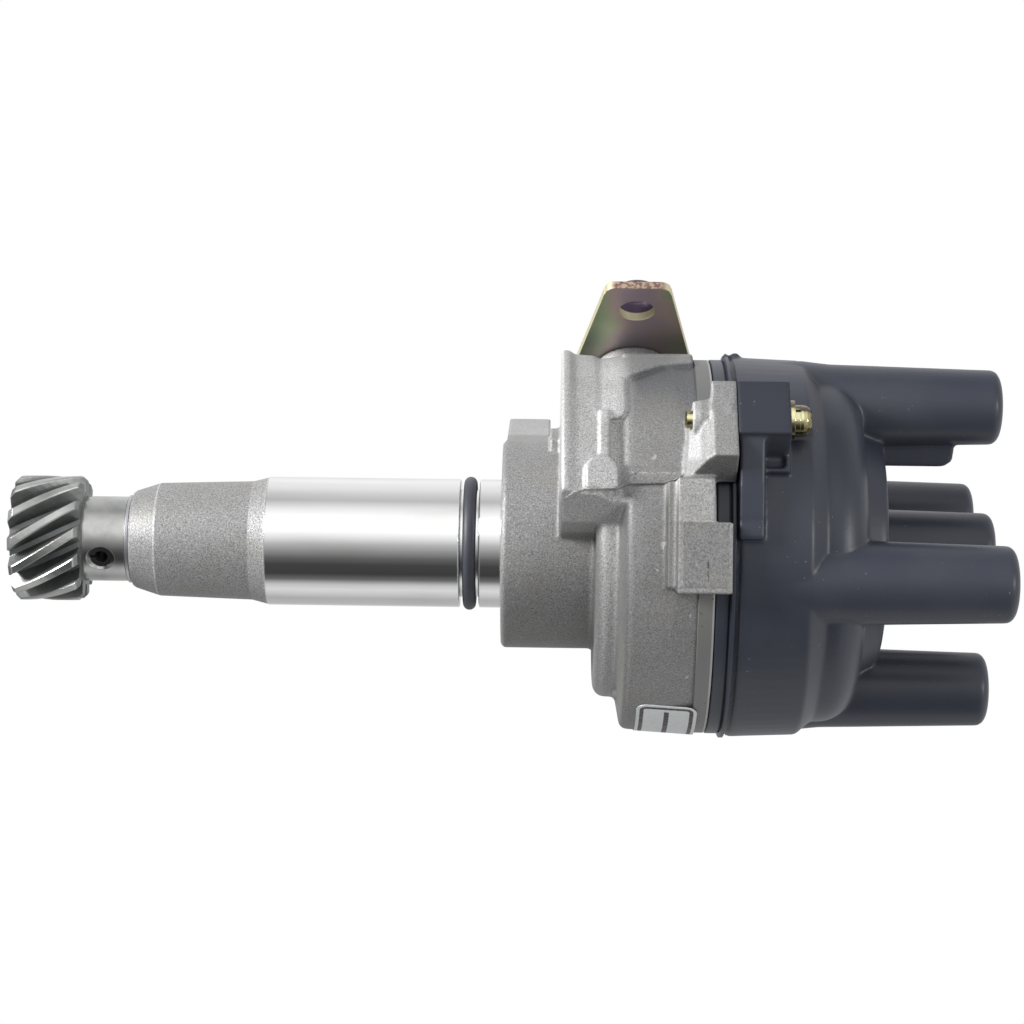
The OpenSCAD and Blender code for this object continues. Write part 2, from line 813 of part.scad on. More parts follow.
module optical_sensor() {
    color("#303238")
        difference() {
            at_clock(sensor_clock) {
                translate([sensor_in_r, -sensor_w / 2, sensor_foot_z])
                    cube([sensor_out_r - sensor_in_r, sensor_w, sensor_top_z - sensor_foot_z]);
                translate([sensor_out_r - 6, -sensor_w / 2 - sensor_tab, sensor_foot_z])
                    cube([4, sensor_w + 2 * sensor_tab, 2]);
            }
            at_clock(sensor_clock)
                translate([0, -sensor_w, disc_z + disc_t / 2 - sensor_gap / 2])
                    cube([disc_d / 2 + 0.8, 2 * sensor_w, sensor_gap]);
            sensor_screw_spots()
                translate([0, 0, sensor_foot_z - past])
                    cylinder(d = 2, h = 20);
        }
}

module sensor_screws() {
    color("#b0a070")
        sensor_screw_spots()
            translate([0, 0, sensor_foot_z + 2])
                pan_screw(2, 2 + plate_t, 3.2, 0.9);
}

module disc_hub() {
    color("#a8a8ac")
        difference() {
            union() {
                rod(disc_hub_r, disc_z - 2.4, 2.4);
                rod(shaft_r + 1.6, disc_z - 2.4, 2.4 + disc_t);
            }
            rod(shaft_r, disc_z - 10, 20);
        }
}

module slotted_disc() {
    window_r = disc_d / 2 - 3;
    color("#707478")
        translate([0, 0, disc_z])
            linear_extrude(height = disc_t)
                difference() {
                    circle(d = disc_d);
                    circle(r = shaft_r + 1.6);
                    for (i = [0:cylinders - 1])
                        rotate(i * 360 / cylinders)
                            intersection() {
                                difference() {
                                    circle(r = window_r);
                                    circle(r = window_r - 3);
                                }
                                polygon([[0, 0], [50, -8], [50, 8]]);
                            }
                    rotate(20)
                        intersection() {
                            difference() {
                                circle(r = window_r - 4.4);
                                circle(r = window_r - 7);
                            }
                            polygon([[0, 0], [50, -5], [50, 5]]);
                        }
                }
}

module disc_clamp_ring() {
    color("#a8a8ac")
        difference() {
            rod(disc_hub_r, disc_z + disc_t, 2.2);
            rod(shaft_r, disc_z - 10, 20);
        }
}

shield_screw_len = 6;
module dust_shield() {
    color("#3a3c40")
        difference() {
            union() {
                ring(shield_r - 0.1, shield_hole_r, shield_z, shield_t);
                ring(shield_hole_r + 1.4, shield_hole_r, shield_z, shield_t + 1.6);
            }
            for (a = post_clocks)
                at_clock(a)
                    translate([post_reach, 0, shield_z - past])
                        cylinder(d = small_screw_d, h = shield_t + 2 * past);
        }
}

module shield_screws() {
    color("#b0a070")
        for (a = post_clocks)
            at_clock(a)
                translate([post_reach, 0, shield_z + shield_t])
                    pan_screw(small_screw_d, shield_screw_len, small_head_d, small_head_h);
}

// CONNECTOR

plug_seal_t = 1;
plug_flange_t = 3;
plug_wall = 1.4;
plug_foot = plug_seat_r + plug_seal_t;

// Draws along +X of the connector's clock angle, from the connector's centre height
module at_plug() {
    at_clock(plug_clock)
        translate([0, 0, plug_z])
            children();
}

module block(x, length, width, height) {
    translate([x, -width / 2, -height / 2])
        cube([length, width, height]);
}

module connector_seal() {
    color("#222222")
        at_plug()
            difference() {
                block(plug_seat_r, plug_seal_t, plug_flange_w - 1, plug_flange_h - 1);
                block(plug_seat_r - past, plug_seal_t + 2 * past, plug_window_w, plug_window_h);
                plug_screw_spots(plug_seat_r - past)
                    cylinder(d = plug_screw_d, h = plug_seal_t + 2 * past);
            }
}

module plug_screw_spots(x) {
    for (s = [-1, 1])
        translate([x, s * plug_screw_pitch, 0])
            rotate([0, 90, 0])
                children();
}

module connector_housing() {
    plug_top = plug_foot + plug_flange_t + plug_depth;
    color("#303238")
        at_plug()
            difference() {
                union() {
                    block(plug_foot, plug_flange_t, plug_flange_w, plug_flange_h);
                    block(plug_foot, plug_flange_t + plug_depth, plug_w, plug_h);
                    // The plug that closes the housing's window
                    block(bowl_inner_r - 1, plug_foot - bowl_inner_r + 1.5, plug_window_w - 0.6, plug_window_h - 0.6);
                    // Ramp for the harness plug's catch
                    translate([plug_top - 6, -3, plug_h / 2 - 0.2])
                        cube([3.5, 6, 1.6]);
                }
                block(plug_foot + plug_flange_t, plug_depth + past, plug_w - 2 * plug_wall, plug_h - 2 * plug_wall);
                plug_screw_spots(plug_foot - past)
                    cylinder(d = plug_screw_d, h = plug_flange_t + 2 * past);
                connector_pin_spots()
                    block(0, 80, 2.2, 0.8);
            }
}

module connector_pin_spots() {
    for (i = [-1.5:1:1.5])
        translate([0, i * 3.9, 0])
            children();
}

module connector_pins() {
    color("#c8b070")
        at_plug()
            connector_pin_spots()
                block(bowl_inner_r - 3.4, plug_foot + plug_flange_t + plug_depth - 4 - bowl_inner_r + 3.4, 2.2, 0.8);
}

module connector_screws() {
    color("#b0a070")
        at_plug()
            plug_screw_spots(plug_foot + plug_flange_t)
                pan_screw(plug_screw_d, plug_flange_t + plug_seal_t + plug_screw_depth - 0.4, plug_head_d, small_head_h);
}

// CAP

gasket_t = 1.3;
gasket_inner_r = shield_r + 0.6;
gasket_outer_r = gasket_inner_r + 1.3;
module cap_gasket() {
    color("#222222")
        ring(gasket_outer_r, gasket_inner_r, rim_z - gasket_t, gasket_t);
}

cap_r = cap_d / 2;
cap_top_r = cap_r - 0.6;
drum_r = drum_d / 2;
crown_r = crown_d / 2;
cap_roof_z = crown_z - cap_wall;

// Outside of the cap, as points [radius, z]
function cap_profile() = concat(
    [[0, rim_z], [rim_r - 0.5, rim_z], [rim_r - 0.2, rim_z + 0.3], [rim_r - 0.2, bead_z - 0.1],
     [rim_r - 0.6, bead_z], [rim_r - 0.6, bead_z + 0.25],
     [cap_bead_d / 2, bead_z + 0.6], [cap_bead_d / 2, cap_wall_z - 0.4],
     [cap_r - 0.5, cap_wall_z - 0.3], [cap_r - 0.5, cap_wall_z], [cap_r, cap_wall_z + 0.3]],
    arc(cap_top_r - 1.5, cone_z - 0.8, 1.5, 0, 42, 3),
    arc(drum_r + 1.2, drum_z + 0.4, 1.2, 222, 180, 3),
    arc(drum_r - drum_round, crown_z - drum_round, drum_round, 0, 90, 8),
    [[crown_r, crown_z], [crown_r - 2.2, crown_z + crown_len - 1.2]],
    arc(crown_r - 3.5, crown_z + crown_len - 1.2, 1.3, 10, 84, 3),
    [[12, crown_z + crown_len + 0.6], [0, crown_z + crown_len + 0.7]]);

// Inside of the cap, as points [radius, z]
function cap_cavity() = concat(
    [[0, rim_z - past], [cap_r - cap_wall - 0.4, rim_z - past], [cap_top_r - cap_wall, cone_z - 1],
     [drum_r - cap_wall, drum_z]],
    arc(drum_r - drum_round, crown_z - drum_round, drum_round - cap_wall, 0, 90, 5),
    [[0, cap_roof_z]]);

// Outside of one tower above its foot, as points [radius, z]
function tower_profile(foot) =
    let (lip_r = socket_d / 2 + 0.7, top_r = tower_top_d / 2, round_h = 2.3)
    concat(
        foot,
        [[tower_foot_d / 2, crown_z + 2], [top_r, tower_top_z - round_h]],
        [for (i = [1:5]) let (a = i * 18)
            [lip_r + (top_r - lip_r) * cos(a), tower_top_z - round_h * (1 - sin(a))]],
        [[0, tower_top_z]]);

// Bore of one tower: the lead's socket, then the terminal's seat, down to z = low
function tower_bore(low_r, low) = [
    [0, low], [low_r, low], [low_r, head_z], [head_r, head_z], [head_r, socket_z],
    [socket_d / 2, socket_z], [socket_d / 2, tower_top_z - 0.5],
    [socket_d / 2 + 0.5, tower_top_z], [socket_d / 2 + 0.5, tower_top_z + past], [0, tower_top_z + past]];

module at_outer_towers() {
    for (i = [0:cylinders - 1])
        at_clock(tower_clock + i * 360 / cylinders)
            translate([tower_pcd_r, 0, 0])
                children();
}

// An outer tower swells the main wall and runs on up past the drum
outer_tower_foot = [
    [0, cap_wall_z + 5], [tower_foot_d / 2 + 0.6, cap_wall_z + 5], [tower_foot_d / 2 + 0.9, cone_z],
    [tower_foot_d / 2 + 0.2, drum_z + 3]];
centre_tower_foot = [[0, crown_z + 1], [tower_foot_d / 2 + 0.1, crown_z + 1]];

// The lug that a cap screw clamps, with the rib beside it
module cap_lug() {
    translate([cap_r - cap_wall + 0.5, -lug_w / 2, lug_z])
        cube([lug_r - cap_r + cap_wall - 0.5, lug_w, lug_len]);
}

// The web between the first tower and the crown
module tower_web() {
    web_w = 5;
    web_low_r = 20;
    web_z = crown_z + 5;
    web_top_z = crown_z + 22.4;
    at_clock(tower_clock)
        translate([0, web_w / 2, 0])
            rotate([90, 0, 0])
                linear_extrude(height = web_w)
                    polygon(concat([[tower_pcd_r - 8, web_z], [web_low_r, web_z]],
                        arc(web_low_r + 3.4, web_top_z - 3.4, 3.4, 180, 120, 4),
                        [[tower_pcd_r - 8, web_top_z]]));
}

// The rib that runs round the cap from each lug
rib_len = 5.4;
rib_r = cap_r + 2.6;
rib_angle = 33.5;
module cap_rib() {
    intersection() {
        ring(rib_r, cap_r - cap_wall + 0.6, cap_wall_z - 0.4, rib_len);
        translate([0, 0, cap_wall_z - past])
            linear_extrude(height = rib_len + 2 * past)
                polygon([[0, 0], [60, 0], [60, 60 * tan(rib_angle)]]);
    }
}

// The shallow tray between each lug and its rib
tray_r = cap_r + 1.7;
tray_angle = 14.5;
tray_edge = 1.1;
module cap_tray() {
    tray_z = cap_wall_z + rib_len - 0.9;
    difference() {
        intersection() {
            ring(tray_r, cap_r - cap_wall + 0.6, tray_z, lug_top_z - tray_z);
            translate([0, 0, tray_z - past])
                linear_extrude(height = lug_len)
                    polygon([[0, 0], [60, 0], [60, 60 * tan(tray_angle)]]);
        }
        intersection() {
            ring(tray_r + 1, cap_r + 0.4, tray_z - past, lug_top_z - tray_z - tray_edge + past);
            translate([0, 0, tray_z - 2 * past])
                linear_extrude(height = lug_len)
                    translate([0, -tray_edge])
                        polygon([[0, 0], [60, 0], [60, 60 * tan(tray_angle)]]);
        }
    }
}

module cap() {
    color("#33363e")
        difference() {
            union() {
                difference() {
                    union() {
                        rotate_extrude()
                            polygon(cap_profile());
                        at_outer_towers()
                            rotate_extrude()
                                polygon(tower_profile(outer_tower_foot));
                        rotate_extrude()
                            polygon(tower_profile(centre_tower_foot));
                        tower_web();
                        for (a = cap_screw_clocks)
                            at_clock(a) {
                                cap_lug();
                                cap_rib();
                                cap_tray();
                            }
                    }
                    rotate_extrude()
                        polygon(cap_cavity());
                }
                // Bosses inside the cap that hold the terminals
                at_outer_towers()
                    rod(terminal_r + 2.4, post_tip_z + 3, cap_roof_z - post_tip_z - 2);
                rod(head_r + 3, guide_z + 1, cap_roof_z - guide_z);
            }
            at_outer_towers()
                rotate_extrude()
                    polygon(tower_bore(terminal_r, post_tip_z));
            rotate_extrude()
                polygon(tower_bore(head_r + 0.3, guide_z));
            for (a = cap_screw_clocks)
                at_clock(a)
                    translate([cap_screw_r, 0, lug_z - past]) {
                        cylinder(d = cap_screw_d + 0.4, h = lug_len + 2 * past);
                        // Room in the wall for the flat washer and the screw's head
                        translate([0, 0, lug_len + past])
                            cylinder(d = flat_washer_d + 0.3, h = 9);
                    }
        }
}

module outer_terminals() {
    color("#c0c0b8")
        at_outer_towers()
            difference() {
                union() {
                    rod(terminal_r, post_tip_z, head_z - post_tip_z + 0.1);
                    rod(head_r, head_z, socket_z - head_z);
                }
                rod(head_r - 1, head_z + 2, 20);
            }
}

module centre_terminal() {
    color("#c0c0b8")
        difference() {
            union() {
                rod(head_r + 0.3, guide_z, head_z - guide_z);
                rod(head_r, head_z - 0.1, socket_z - head_z + 0.1);
            }
            rod(brush_r + running, guide_z - past, guide_top_z - guide_z + past);
            rod(head_r - 1, head_z + 2, 20);
        }
}

module carbon_brush() {
    color("#3c3c40")
        rotate_extrude()
            polygon([[0, brush_z], [brush_r - 0.4, brush_z], [brush_r, brush_z + 0.4],
                     [brush_r, brush_z + brush_len], [0, brush_z + brush_len]]);
}

// A round wire wound into a coil, as one closed surface
module coil(mean_r, wire_r, turns, z, height) {
    sides = 8;
    per_turn = 14;
    rings = turns * per_turn;
    rise = height - 2 * wire_r;
    points = [for (i = [0:rings]) let (a = 360 * i / per_turn, h = z + wire_r + rise * i / rings)
        for (j = [0:sides - 1]) let (b = 360 * j / sides, r = mean_r + wire_r * cos(b))
            [r * cos(a), r * sin(a), h + wire_r * sin(b)]];
    walls = [for (i = [0:rings - 1]) for (j = [0:sides - 1]) let (k = (j + 1) % sides)
        [i * sides + j, i * sides + k, (i + 1) * sides + k, (i + 1) * sides + j]];
    start = [[for (j = [0:sides - 1]) sides - 1 - j]];
    finish = [[for (j = [0:sides - 1]) rings * sides + j]];
    polyhedron(points = points, faces = concat(walls, start, finish), convexity = 6);
}

module brush_spring() {
    color("#b0b0b4")
        coil(1.8, 0.3, 5, brush_z + brush_len + 0.05, guide_top_z - brush_z - brush_len - 0.1);
}

module cap_screws() {
    color("#c0b080")
        for (a = cap_screw_clocks)
            at_clock(a)
                translate([cap_screw_r, 0, screw_seat_z])
                    pan_screw(cap_screw_d, screw_seat_z - screw_tip_z, 7, 2.7);
}

module cap_spring_washers() {
    color("#b0a878")
        for (a = cap_screw_clocks)
            at_clock(a)
                translate([cap_screw_r, 0, 0])
                    difference() {
                        ring(3.5, cap_screw_d / 2 + 0.1, screw_seat_z - spring_washer_t, spring_washer_t);
                        translate([1, -0.3, screw_seat_z - 3])
                            cube([5, 0.6, 5]);
                    }
}

module cap_flat_washers() {
    color("#c8b880")
        for (a = cap_screw_clocks)
            at_clock(a)
                translate([cap_screw_r, 0, 0])
                    ring(flat_washer_d / 2, cap_screw_d / 2 + 0.2, lug_top_z, flat_washer_t);
}

// WIRE BRACKET

bracket_bolt_depth = 7;
bracket_washer_t = 1.4;
bracket_head_h = 4;

// Draws on the bracket's seat: x is out of the seat, y towards the tip, z up the shaft
module at_bracket() {
    at_clock(bracket_clock)
        translate([bracket_seat_r, 0, bracket_boss_z])
            children();
}

module wire_bracket() {
    root = 9.5;
    slope = (bracket_root_w - bracket_tip_w) / 2 / bracket_reach;
    tip_w = bracket_tip_w / 2;
    round_r = 2.6;
    color("#8c8560")
        at_bracket()
            rotate([0, 90, 0])
                difference() {
                    union() {
                        linear_extrude(height = bracket_t) {
                            polygon([
                                [-bracket_root_w / 2, 0], [-bracket_root_w / 2 + 4, -root],
                                [bracket_root_w / 2 - 4, -root],
                                [bracket_root_w / 2, 0], [tip_w + slope * round_r, bracket_reach - round_r],
                                [tip_w - round_r, bracket_reach], [-tip_w + round_r, bracket_reach],
                                [-tip_w - slope * round_r, bracket_reach - round_r]]);
                            for (s = [-1, 1])
                                translate([s * (tip_w - round_r + 0.35), bracket_reach - round_r])
                                    circle(r = round_r);
                        }
                        translate([0, bracket_hole_reach, bracket_t - 0.1])
                            cylinder(d1 = bracket_hole_d + 2.4, d2 = bracket_hole_d + 1.8,
                                     h = bracket_collar_h + 0.1);
                    }
                    translate([0, 0, -past])
                        cylinder(d = bracket_bolt_d + 0.4, h = bracket_t + 2 * past);
                    translate([0, bracket_hole_reach, -past])
                        cylinder(d = bracket_hole_d, h = bracket_t + bracket_collar_h + 2 * past);
                }
}

module bracket_spring_washer() {
    color("#a09870")
        at_bracket()
            rotate([0, 90, 0])
                difference() {
                    ring(bracket_bolt_d / 2 + 2.2, bracket_bolt_d / 2 + 0.15, bracket_t, bracket_washer_t);
                    translate([2, -0.4, bracket_t - past])
                        cube([6, 0.8, 4]);
                }
}

module bracket_bolt() {
    head_z = bracket_t + bracket_washer_t;
    color("#c0b080")
        at_bracket()
            rotate([0, 90, 0])
                union() {
                    translate([0, 0, -bracket_bolt_depth])
                        cylinder(d = bracket_bolt_d, h = bracket_bolt_depth + head_z + 0.1);
                    translate([0, 0, head_z])
                        cylinder(d = 11.5, h = bracket_head_h, $fn = 6);
                }
}

// SHAFT, GEAR AND ROTOR

pin_z = hub_top_z - 5.5;
pin_r = gear_pin_d / 2;

// Cuts along the spring pin's axis
module at_pin() {
    at_clock(gear_pin_clock)
        translate([0, 0, pin_z])
            rotate([0, 90, 0])
                children();
}

module shaft() {
    collar_len = 0.9;
    color("#b8bcc0")
        difference() {
            union() {
                rotate_extrude()
                    polygon([
                        [0, gear_z + 1], [shaft_r - 0.8, gear_z + 1], [shaft_r, gear_z + 1.8],
                        [shaft_r, shaft_top_z - 0.6], [shaft_r - 0.6, shaft_top_z], [0, shaft_top_z]]);
                rod(shaft_r + 1.8, bearing_z - collar_len, collar_len);
            }
            ring(shaft_r + 2, shaft_r - 0.5, bearing_top_z + 0.05, 1.1);
            at_pin()
                cylinder(r = pin_r, h = 40, center = true);
            // Flat that keys the rotor
            at_clock(rotor_clock)
                translate([shaft_r - 1.2, -10, rotor_foot_z + 4])
                    cube([10, 20, 40]);
        }
}

// Outline of the gear at one height, with its bore
module gear_outline() {
    tip_r = gear_tip_d / 2;
    root_r = gear_root_d / 2;
    mean_r = (tip_r + root_r) / 2;
    pitch = 360 / gear_teeth;
    // Fractions of the pitch covered by a tooth at its tip, middle and root
    tip_share = 0.17;
    mean_share = 0.25;
    root_share = 0.37;
    difference() {
        polygon([for (i = [0:gear_teeth - 1]) let (a = i * pitch) for (p = [
            [root_r, -root_share], [mean_r, -mean_share], [tip_r - 0.3, -tip_share], [tip_r, -tip_share + 0.04],
            [tip_r, tip_share - 0.04], [tip_r - 0.3, tip_share], [mean_r, mean_share], [root_r, root_share]])
            [p[0] * cos(a + p[1] * pitch), p[0] * sin(a + p[1] * pitch)]]);
        circle(r = shaft_r + 0.03);
    }
}

module drive_gear() {
    color("#9aa0a4")
        union() {
            difference() {
                translate([0, 0, gear_z])
                    linear_extrude(height = gear_len, twist = 360 * gear_len / gear_lead, slices = 10)
                        gear_outline();
                // Chamfers at both ends of the teeth
                for (end = [[gear_z, 1], [teeth_top_z, -1]])
                    translate([0, 0, end[0]])
                        rotate_extrude()
                            polygon([[gear_tip_d / 2 - 1.1, -end[1] * 0.01], [gear_tip_d / 2 + 1, end[1] * 2.2],
                                     [gear_tip_d / 2 + 1, -end[1]], [gear_tip_d / 2 - 1.1, -end[1]]]);
            }
            difference() {
                ring(gear_hub_d / 2, shaft_r + 0.03, teeth_top_z, gear_hub_len);
                at_pin()
                    cylinder(r = pin_r, h = 40, center = true);
                at_pin()
                    for (s = [0, 180])
                        rotate([0, s, 0])
                            translate([0, 0, gear_hub_d / 2 - 1.1])
                                cylinder(r1 = pin_r, r2 = pin_r + 1.2, h = 1.6);
            }
        }
}

module gear_pin() {
    wall = 1;
    color("#3a3a3c")
        at_pin()
            difference() {
                cylinder(r = pin_r, h = gear_hub_d - 2.4, center = true);
                cylinder(r = pin_r - wall, h = gear_hub_d + 2, center = true);
                translate([0, -0.3, -20])
                    cube([10, 0.6, 40]);
            }
}

module thrust_washer() {
    color("#a09060")
        ring(nose_end_d / 2 - 0.2, shaft_r + 0.1, washer_z, thrust_washer_t);
}

rotor_boss_r = 9.4;
rotor_arm_h = 6;
rotor_skirt_top_z = rim_z + 1.8;
rotor_screw_z = (rotor_skirt_top_z + rotor_top_z - rotor_arm_h) / 2;
rotor_screw_reach = 1.15;
module rotor() {
    skirt_r = 20;
    skirt_t = 2;
    arm_w = 15;
    color("#5a3c2c")
        difference() {
            union() {
                at_clock(rotor_clock + 90)
                    rod(rotor_boss_r, rotor_foot_z, rotor_top_z - rotor_foot_z);
                rod(skirt_r, rotor_skirt_top_z - skirt_t, skirt_t);
                at_clock(rotor_clock)
                    translate([0, 0, rotor_top_z - rotor_arm_h])
                        linear_extrude(height = rotor_arm_h)
                            polygon([[-14, -6], [0, -9], [electrode_r - 3, -arm_w / 2], [electrode_r - 3, arm_w / 2],
                                     [0, 9], [-14, 6]]);
            }
            difference() {
                rod(shaft_r, rotor_foot_z - past, shaft_top_z - rotor_foot_z + past);
                at_clock(rotor_clock)
                    translate([shaft_r - 1.2, -10, rotor_foot_z + 4])
                        cube([10, 20, 40]);
            }
            rotor_screw_hole();
        }
}

module rotor_screw_hole() {
    at_clock(rotor_clock)
        translate([shaft_r - 2, 0, rotor_screw_z])
            rotate([0, 90, 0])
                cylinder(d = cap_screw_d, h = 20);
}

module rotor_screw() {
    color("#b0a070")
        at_clock(rotor_clock)
            translate([rotor_boss_r, 0, rotor_screw_z])
                rotate([0, 90, 0])
                    pan_screw(cap_screw_d, rotor_boss_r - shaft_r + rotor_screw_reach, 5.8, 2);
}

module rotor_electrode() {
    color("#c8a860")
        at_clock(rotor_clock)
            translate([0, 0, rotor_top_z])
                linear_extrude(height = electrode_t) {
                    circle(r = 5);
                    translate([0, -3.2])
                        square([electrode_r - 4, 6.4]);
                    intersection() {
                        difference() {
                            circle(r = electrode_r);
                            circle(r = electrode_r - 5);
                        }
                        polygon([[0, 0], [50, -11], [50, 11]]);
                    }
                }
}

housing();
pilot_o_ring();
lower_bush();
oil_seal();
bearing_outer_race();
bearing_retainer();
retainer_screws();
sensor_base_plate();
base_plate_screws();
optical_sensor();
sensor_screws();
dust_shield();
shield_screws();
connector_housing();
connector_pins();
connector_seal();
connector_screws();
cap_gasket();
cap();
outer_terminals();
centre_terminal();
brush_spring();
cap_screws();
cap_spring_washers();
cap_flat_washers();
wire_bracket();
bracket_bolt();
bracket_spring_washer();
shaft();
drive_gear();
gear_pin();
thrust_washer();
bearing_inner_race();
snap_ring();
disc_hub();
slotted_disc();
disc_clamp_ring();
rotor();
rotor_electrode();
rotor_screw();
bearing_cage();
bearing_balls();
carbon_brush();
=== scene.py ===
# Ignition distributor: finishes, cast and moulded surfaces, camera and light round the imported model.
# Lengths are in mm until a mesh, a node or an object takes them in metres. +Z runs up the shaft.
# In the picture +Z is to the right and -X is up. A clock angle, in degrees, turns round the shaft:
# 0 is at the picture's top and 90 faces the camera.
import json
import math

import bmesh
import bpy
from mathutils import Matrix, Vector


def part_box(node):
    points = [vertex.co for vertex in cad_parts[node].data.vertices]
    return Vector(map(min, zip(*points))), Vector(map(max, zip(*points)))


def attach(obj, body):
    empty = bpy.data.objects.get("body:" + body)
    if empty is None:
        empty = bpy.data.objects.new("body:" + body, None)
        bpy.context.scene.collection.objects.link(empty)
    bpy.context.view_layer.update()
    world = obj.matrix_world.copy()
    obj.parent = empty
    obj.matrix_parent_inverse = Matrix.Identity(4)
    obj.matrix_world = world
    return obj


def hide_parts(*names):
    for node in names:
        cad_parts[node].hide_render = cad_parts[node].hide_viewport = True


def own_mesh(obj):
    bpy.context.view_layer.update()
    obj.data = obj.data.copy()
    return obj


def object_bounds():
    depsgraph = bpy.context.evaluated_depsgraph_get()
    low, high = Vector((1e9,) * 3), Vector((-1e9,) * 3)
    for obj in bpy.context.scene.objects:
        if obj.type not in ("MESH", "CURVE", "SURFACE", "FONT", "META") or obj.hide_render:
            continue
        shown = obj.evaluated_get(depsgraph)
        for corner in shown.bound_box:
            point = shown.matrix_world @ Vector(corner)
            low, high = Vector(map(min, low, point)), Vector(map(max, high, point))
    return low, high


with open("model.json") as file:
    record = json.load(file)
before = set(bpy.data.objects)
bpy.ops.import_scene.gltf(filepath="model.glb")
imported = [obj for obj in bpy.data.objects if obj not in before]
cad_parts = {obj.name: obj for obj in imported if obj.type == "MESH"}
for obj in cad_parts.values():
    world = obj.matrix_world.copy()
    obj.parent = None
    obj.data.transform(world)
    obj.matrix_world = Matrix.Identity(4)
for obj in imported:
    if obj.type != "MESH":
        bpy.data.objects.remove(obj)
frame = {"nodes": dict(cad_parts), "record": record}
cad_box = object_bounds()
nodes = frame["nodes"]
MM = 0.001
LOW, HIGH = 0, 1


def end_of(node, end):
    """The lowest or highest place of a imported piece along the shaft."""
    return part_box(node)[end].z / MM


# Nose, ground pilot and the O-ring's groove
NOSE_END = end_of("housing", LOW)
NOSE_END_R = 10.4
NOSE_EDGE = -79.6
NOSE_LOW_R = 13.15
FLARE_START = -58.0
NOSE_ROOT_R = 13.8
PILOT_END = -54.2
PILOT_R = 14.9
GROOVE = (-9.6, -5.2)
GROOVE_R = 12.5
SHANK_TOP = -0.3
BORE_R = 9.0
BUSH_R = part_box("lower_bush")[HIGH].x / MM
BUSH_TOP = end_of("lower_bush", HIGH)
BROKEN_EDGE = 0.2

# The casting's tone, and its zones: where the neck, the bowl and the ear have their own surface
CAST_TONE = 0.215
NECK_R = 28.5
NECK_TOP = 30.0
BLASTED_TOP = 27.5
BOWL_START = 29.5
BOWL_SKIN_R = 43.9
EAR_R = 45.0
EAR_START = 37.0
EAR_WEB_TOP = 43.5

# Locating block: its face stands out from the bowl, and its foot was dressed
BLOCK_R = 44.1
BLOCK_START = 37.5
BLOCK_X = (-14.5, -5.3)
DRESSED_X = (BLOCK_X[1], 40.0)
BEVEL_X = (9.0, 12.0)
BEVEL_ENDS = (39.75, 49.65)
BLOCK_GROOVE_X = (8.5, 9.0)
SCRATCH_Z = 45.1
SCRATCH_X = (3.0, 7.2)

# Parting line, and the ridge of flash along it as places (x, z) on the front
FLASH_X = -15.8
FLASH_Z = (28.5, 38.5)
NECK_LINE_X = -8.8
NECK_LINE_Z = (2.2, 12.7)
RIDGE = (
    (-9.9, 14.0), (-11.5, 16.2), (-12.3, 18.5), (-12.4, 22.5), (-12.6, 25.8),
    (-13.6, 28.0), (-13.9, 36.1), (-14.7, 38.6), (-15.6, 40.0),
)
RIDGE_HALF_W = 0.42
RIDGE_HEIGHT = 0.30
RIDGE_STEP = 0.7
RIDGE_SIDES = 10
RIDGE_TIP = 0.3
IN_FRONT = -90

# Foot of the bowl, raised a little on the front and below
BOWL_FOOT_SHIFT = 0.8
BOWL_FOOT_R = (40.6, 42.8)
BOWL_FOOT_Z = (26.0, 28.7)
BOWL_FOOT_X = -12.0

# The bracket's pad as rows (height, reach from the shaft, clock angle where the row ends)
PAD = ((35.6, 44.3, 22), (31.0, 44.4, 27), (28.5, 44.2, 30), (24.5, 43.6, 31), (22.0, 42.4, 29))
PAD_STRIP = ((43.2, 44.25, 18.5), (38.5, 44.3, 19.2), (35.0, 44.3, 21.5), (33.0, 44.2, 22.5))
PAD_CLOCK = -50
PAD_DEPTH = 4
PAD_STEPS = 26

# Bosses over the base plate's screws, as rings (radius, height)
BASE_SCREW_CLOCKS = (40, 160, 280)
BASE_SCREW_REACH = 35.4
BOSS = ((1.9, 25.9), (2.6, 26.8), (2.6, 28.0))
BOSS_SIDES = 12

# Turned rim of the bowl, and the cap's foot with its bead
RIM_R = 43.25
RIM = (43.4, end_of("cap", LOW))
RIM_WALL = 2.0
RIM_SINK_R = (42.7, 43.6)
RIM_SINK = 0.7
BEAD_R = 44.3
BEAD = (50.1, 51.85)
CAP_WALL_Z = 52.3
CAP_SINK_R = (42.2, 44.4)
CAP_SINK = 0.9
CAP_FOOT_WALL = 2.8

# Cap's screw lugs, and the web from each to its rib as places (out from the shaft, side)
CAP_SCREW_CLOCKS = (54.4, 54.4 + 180)
LUG_R = 45.2
LUG_Z = (50.5, end_of("cap_flat_washers", LOW))
LUG_X = -24.0
LUG_WEB = ((42.0, 5.0), (51.7, 6.9), (41.2, 22.0), (36.0, 19.5))
LUG_WEB_Z = (CAP_WALL_Z - 0.4, CAP_WALL_Z + 5.0)

# Nubs that the mould left on the cap, as (middle, half sizes)
CAP_NUBS = (
    ((-43.6, -4.5, 53.3), (1.35, 1.5, 1.3)),
    ((-43.4, -5.0, 51.0), (1.3, 2.5, 0.7)),
)

# Bracket, and the drawn edge of its collar as points (radius, reach from the shaft)
BRACKET_CLOCK = -27.4
BRACKET_R = 50.8
BRACKET_Z = (end_of("wire_bracket", LOW) + end_of("wire_bracket", HIGH)) / 2
BRACKET_FACING = (-math.cos(math.radians(BRACKET_CLOCK)), -math.sin(math.radians(BRACKET_CLOCK)), 0.0)
COLLAR_SIDE = 24.5
COLLAR_EDGE = ((4.2, 53.4), (4.2, 54.3), (4.6, 54.5), (5.0, 54.3), (5.15, 53.4))

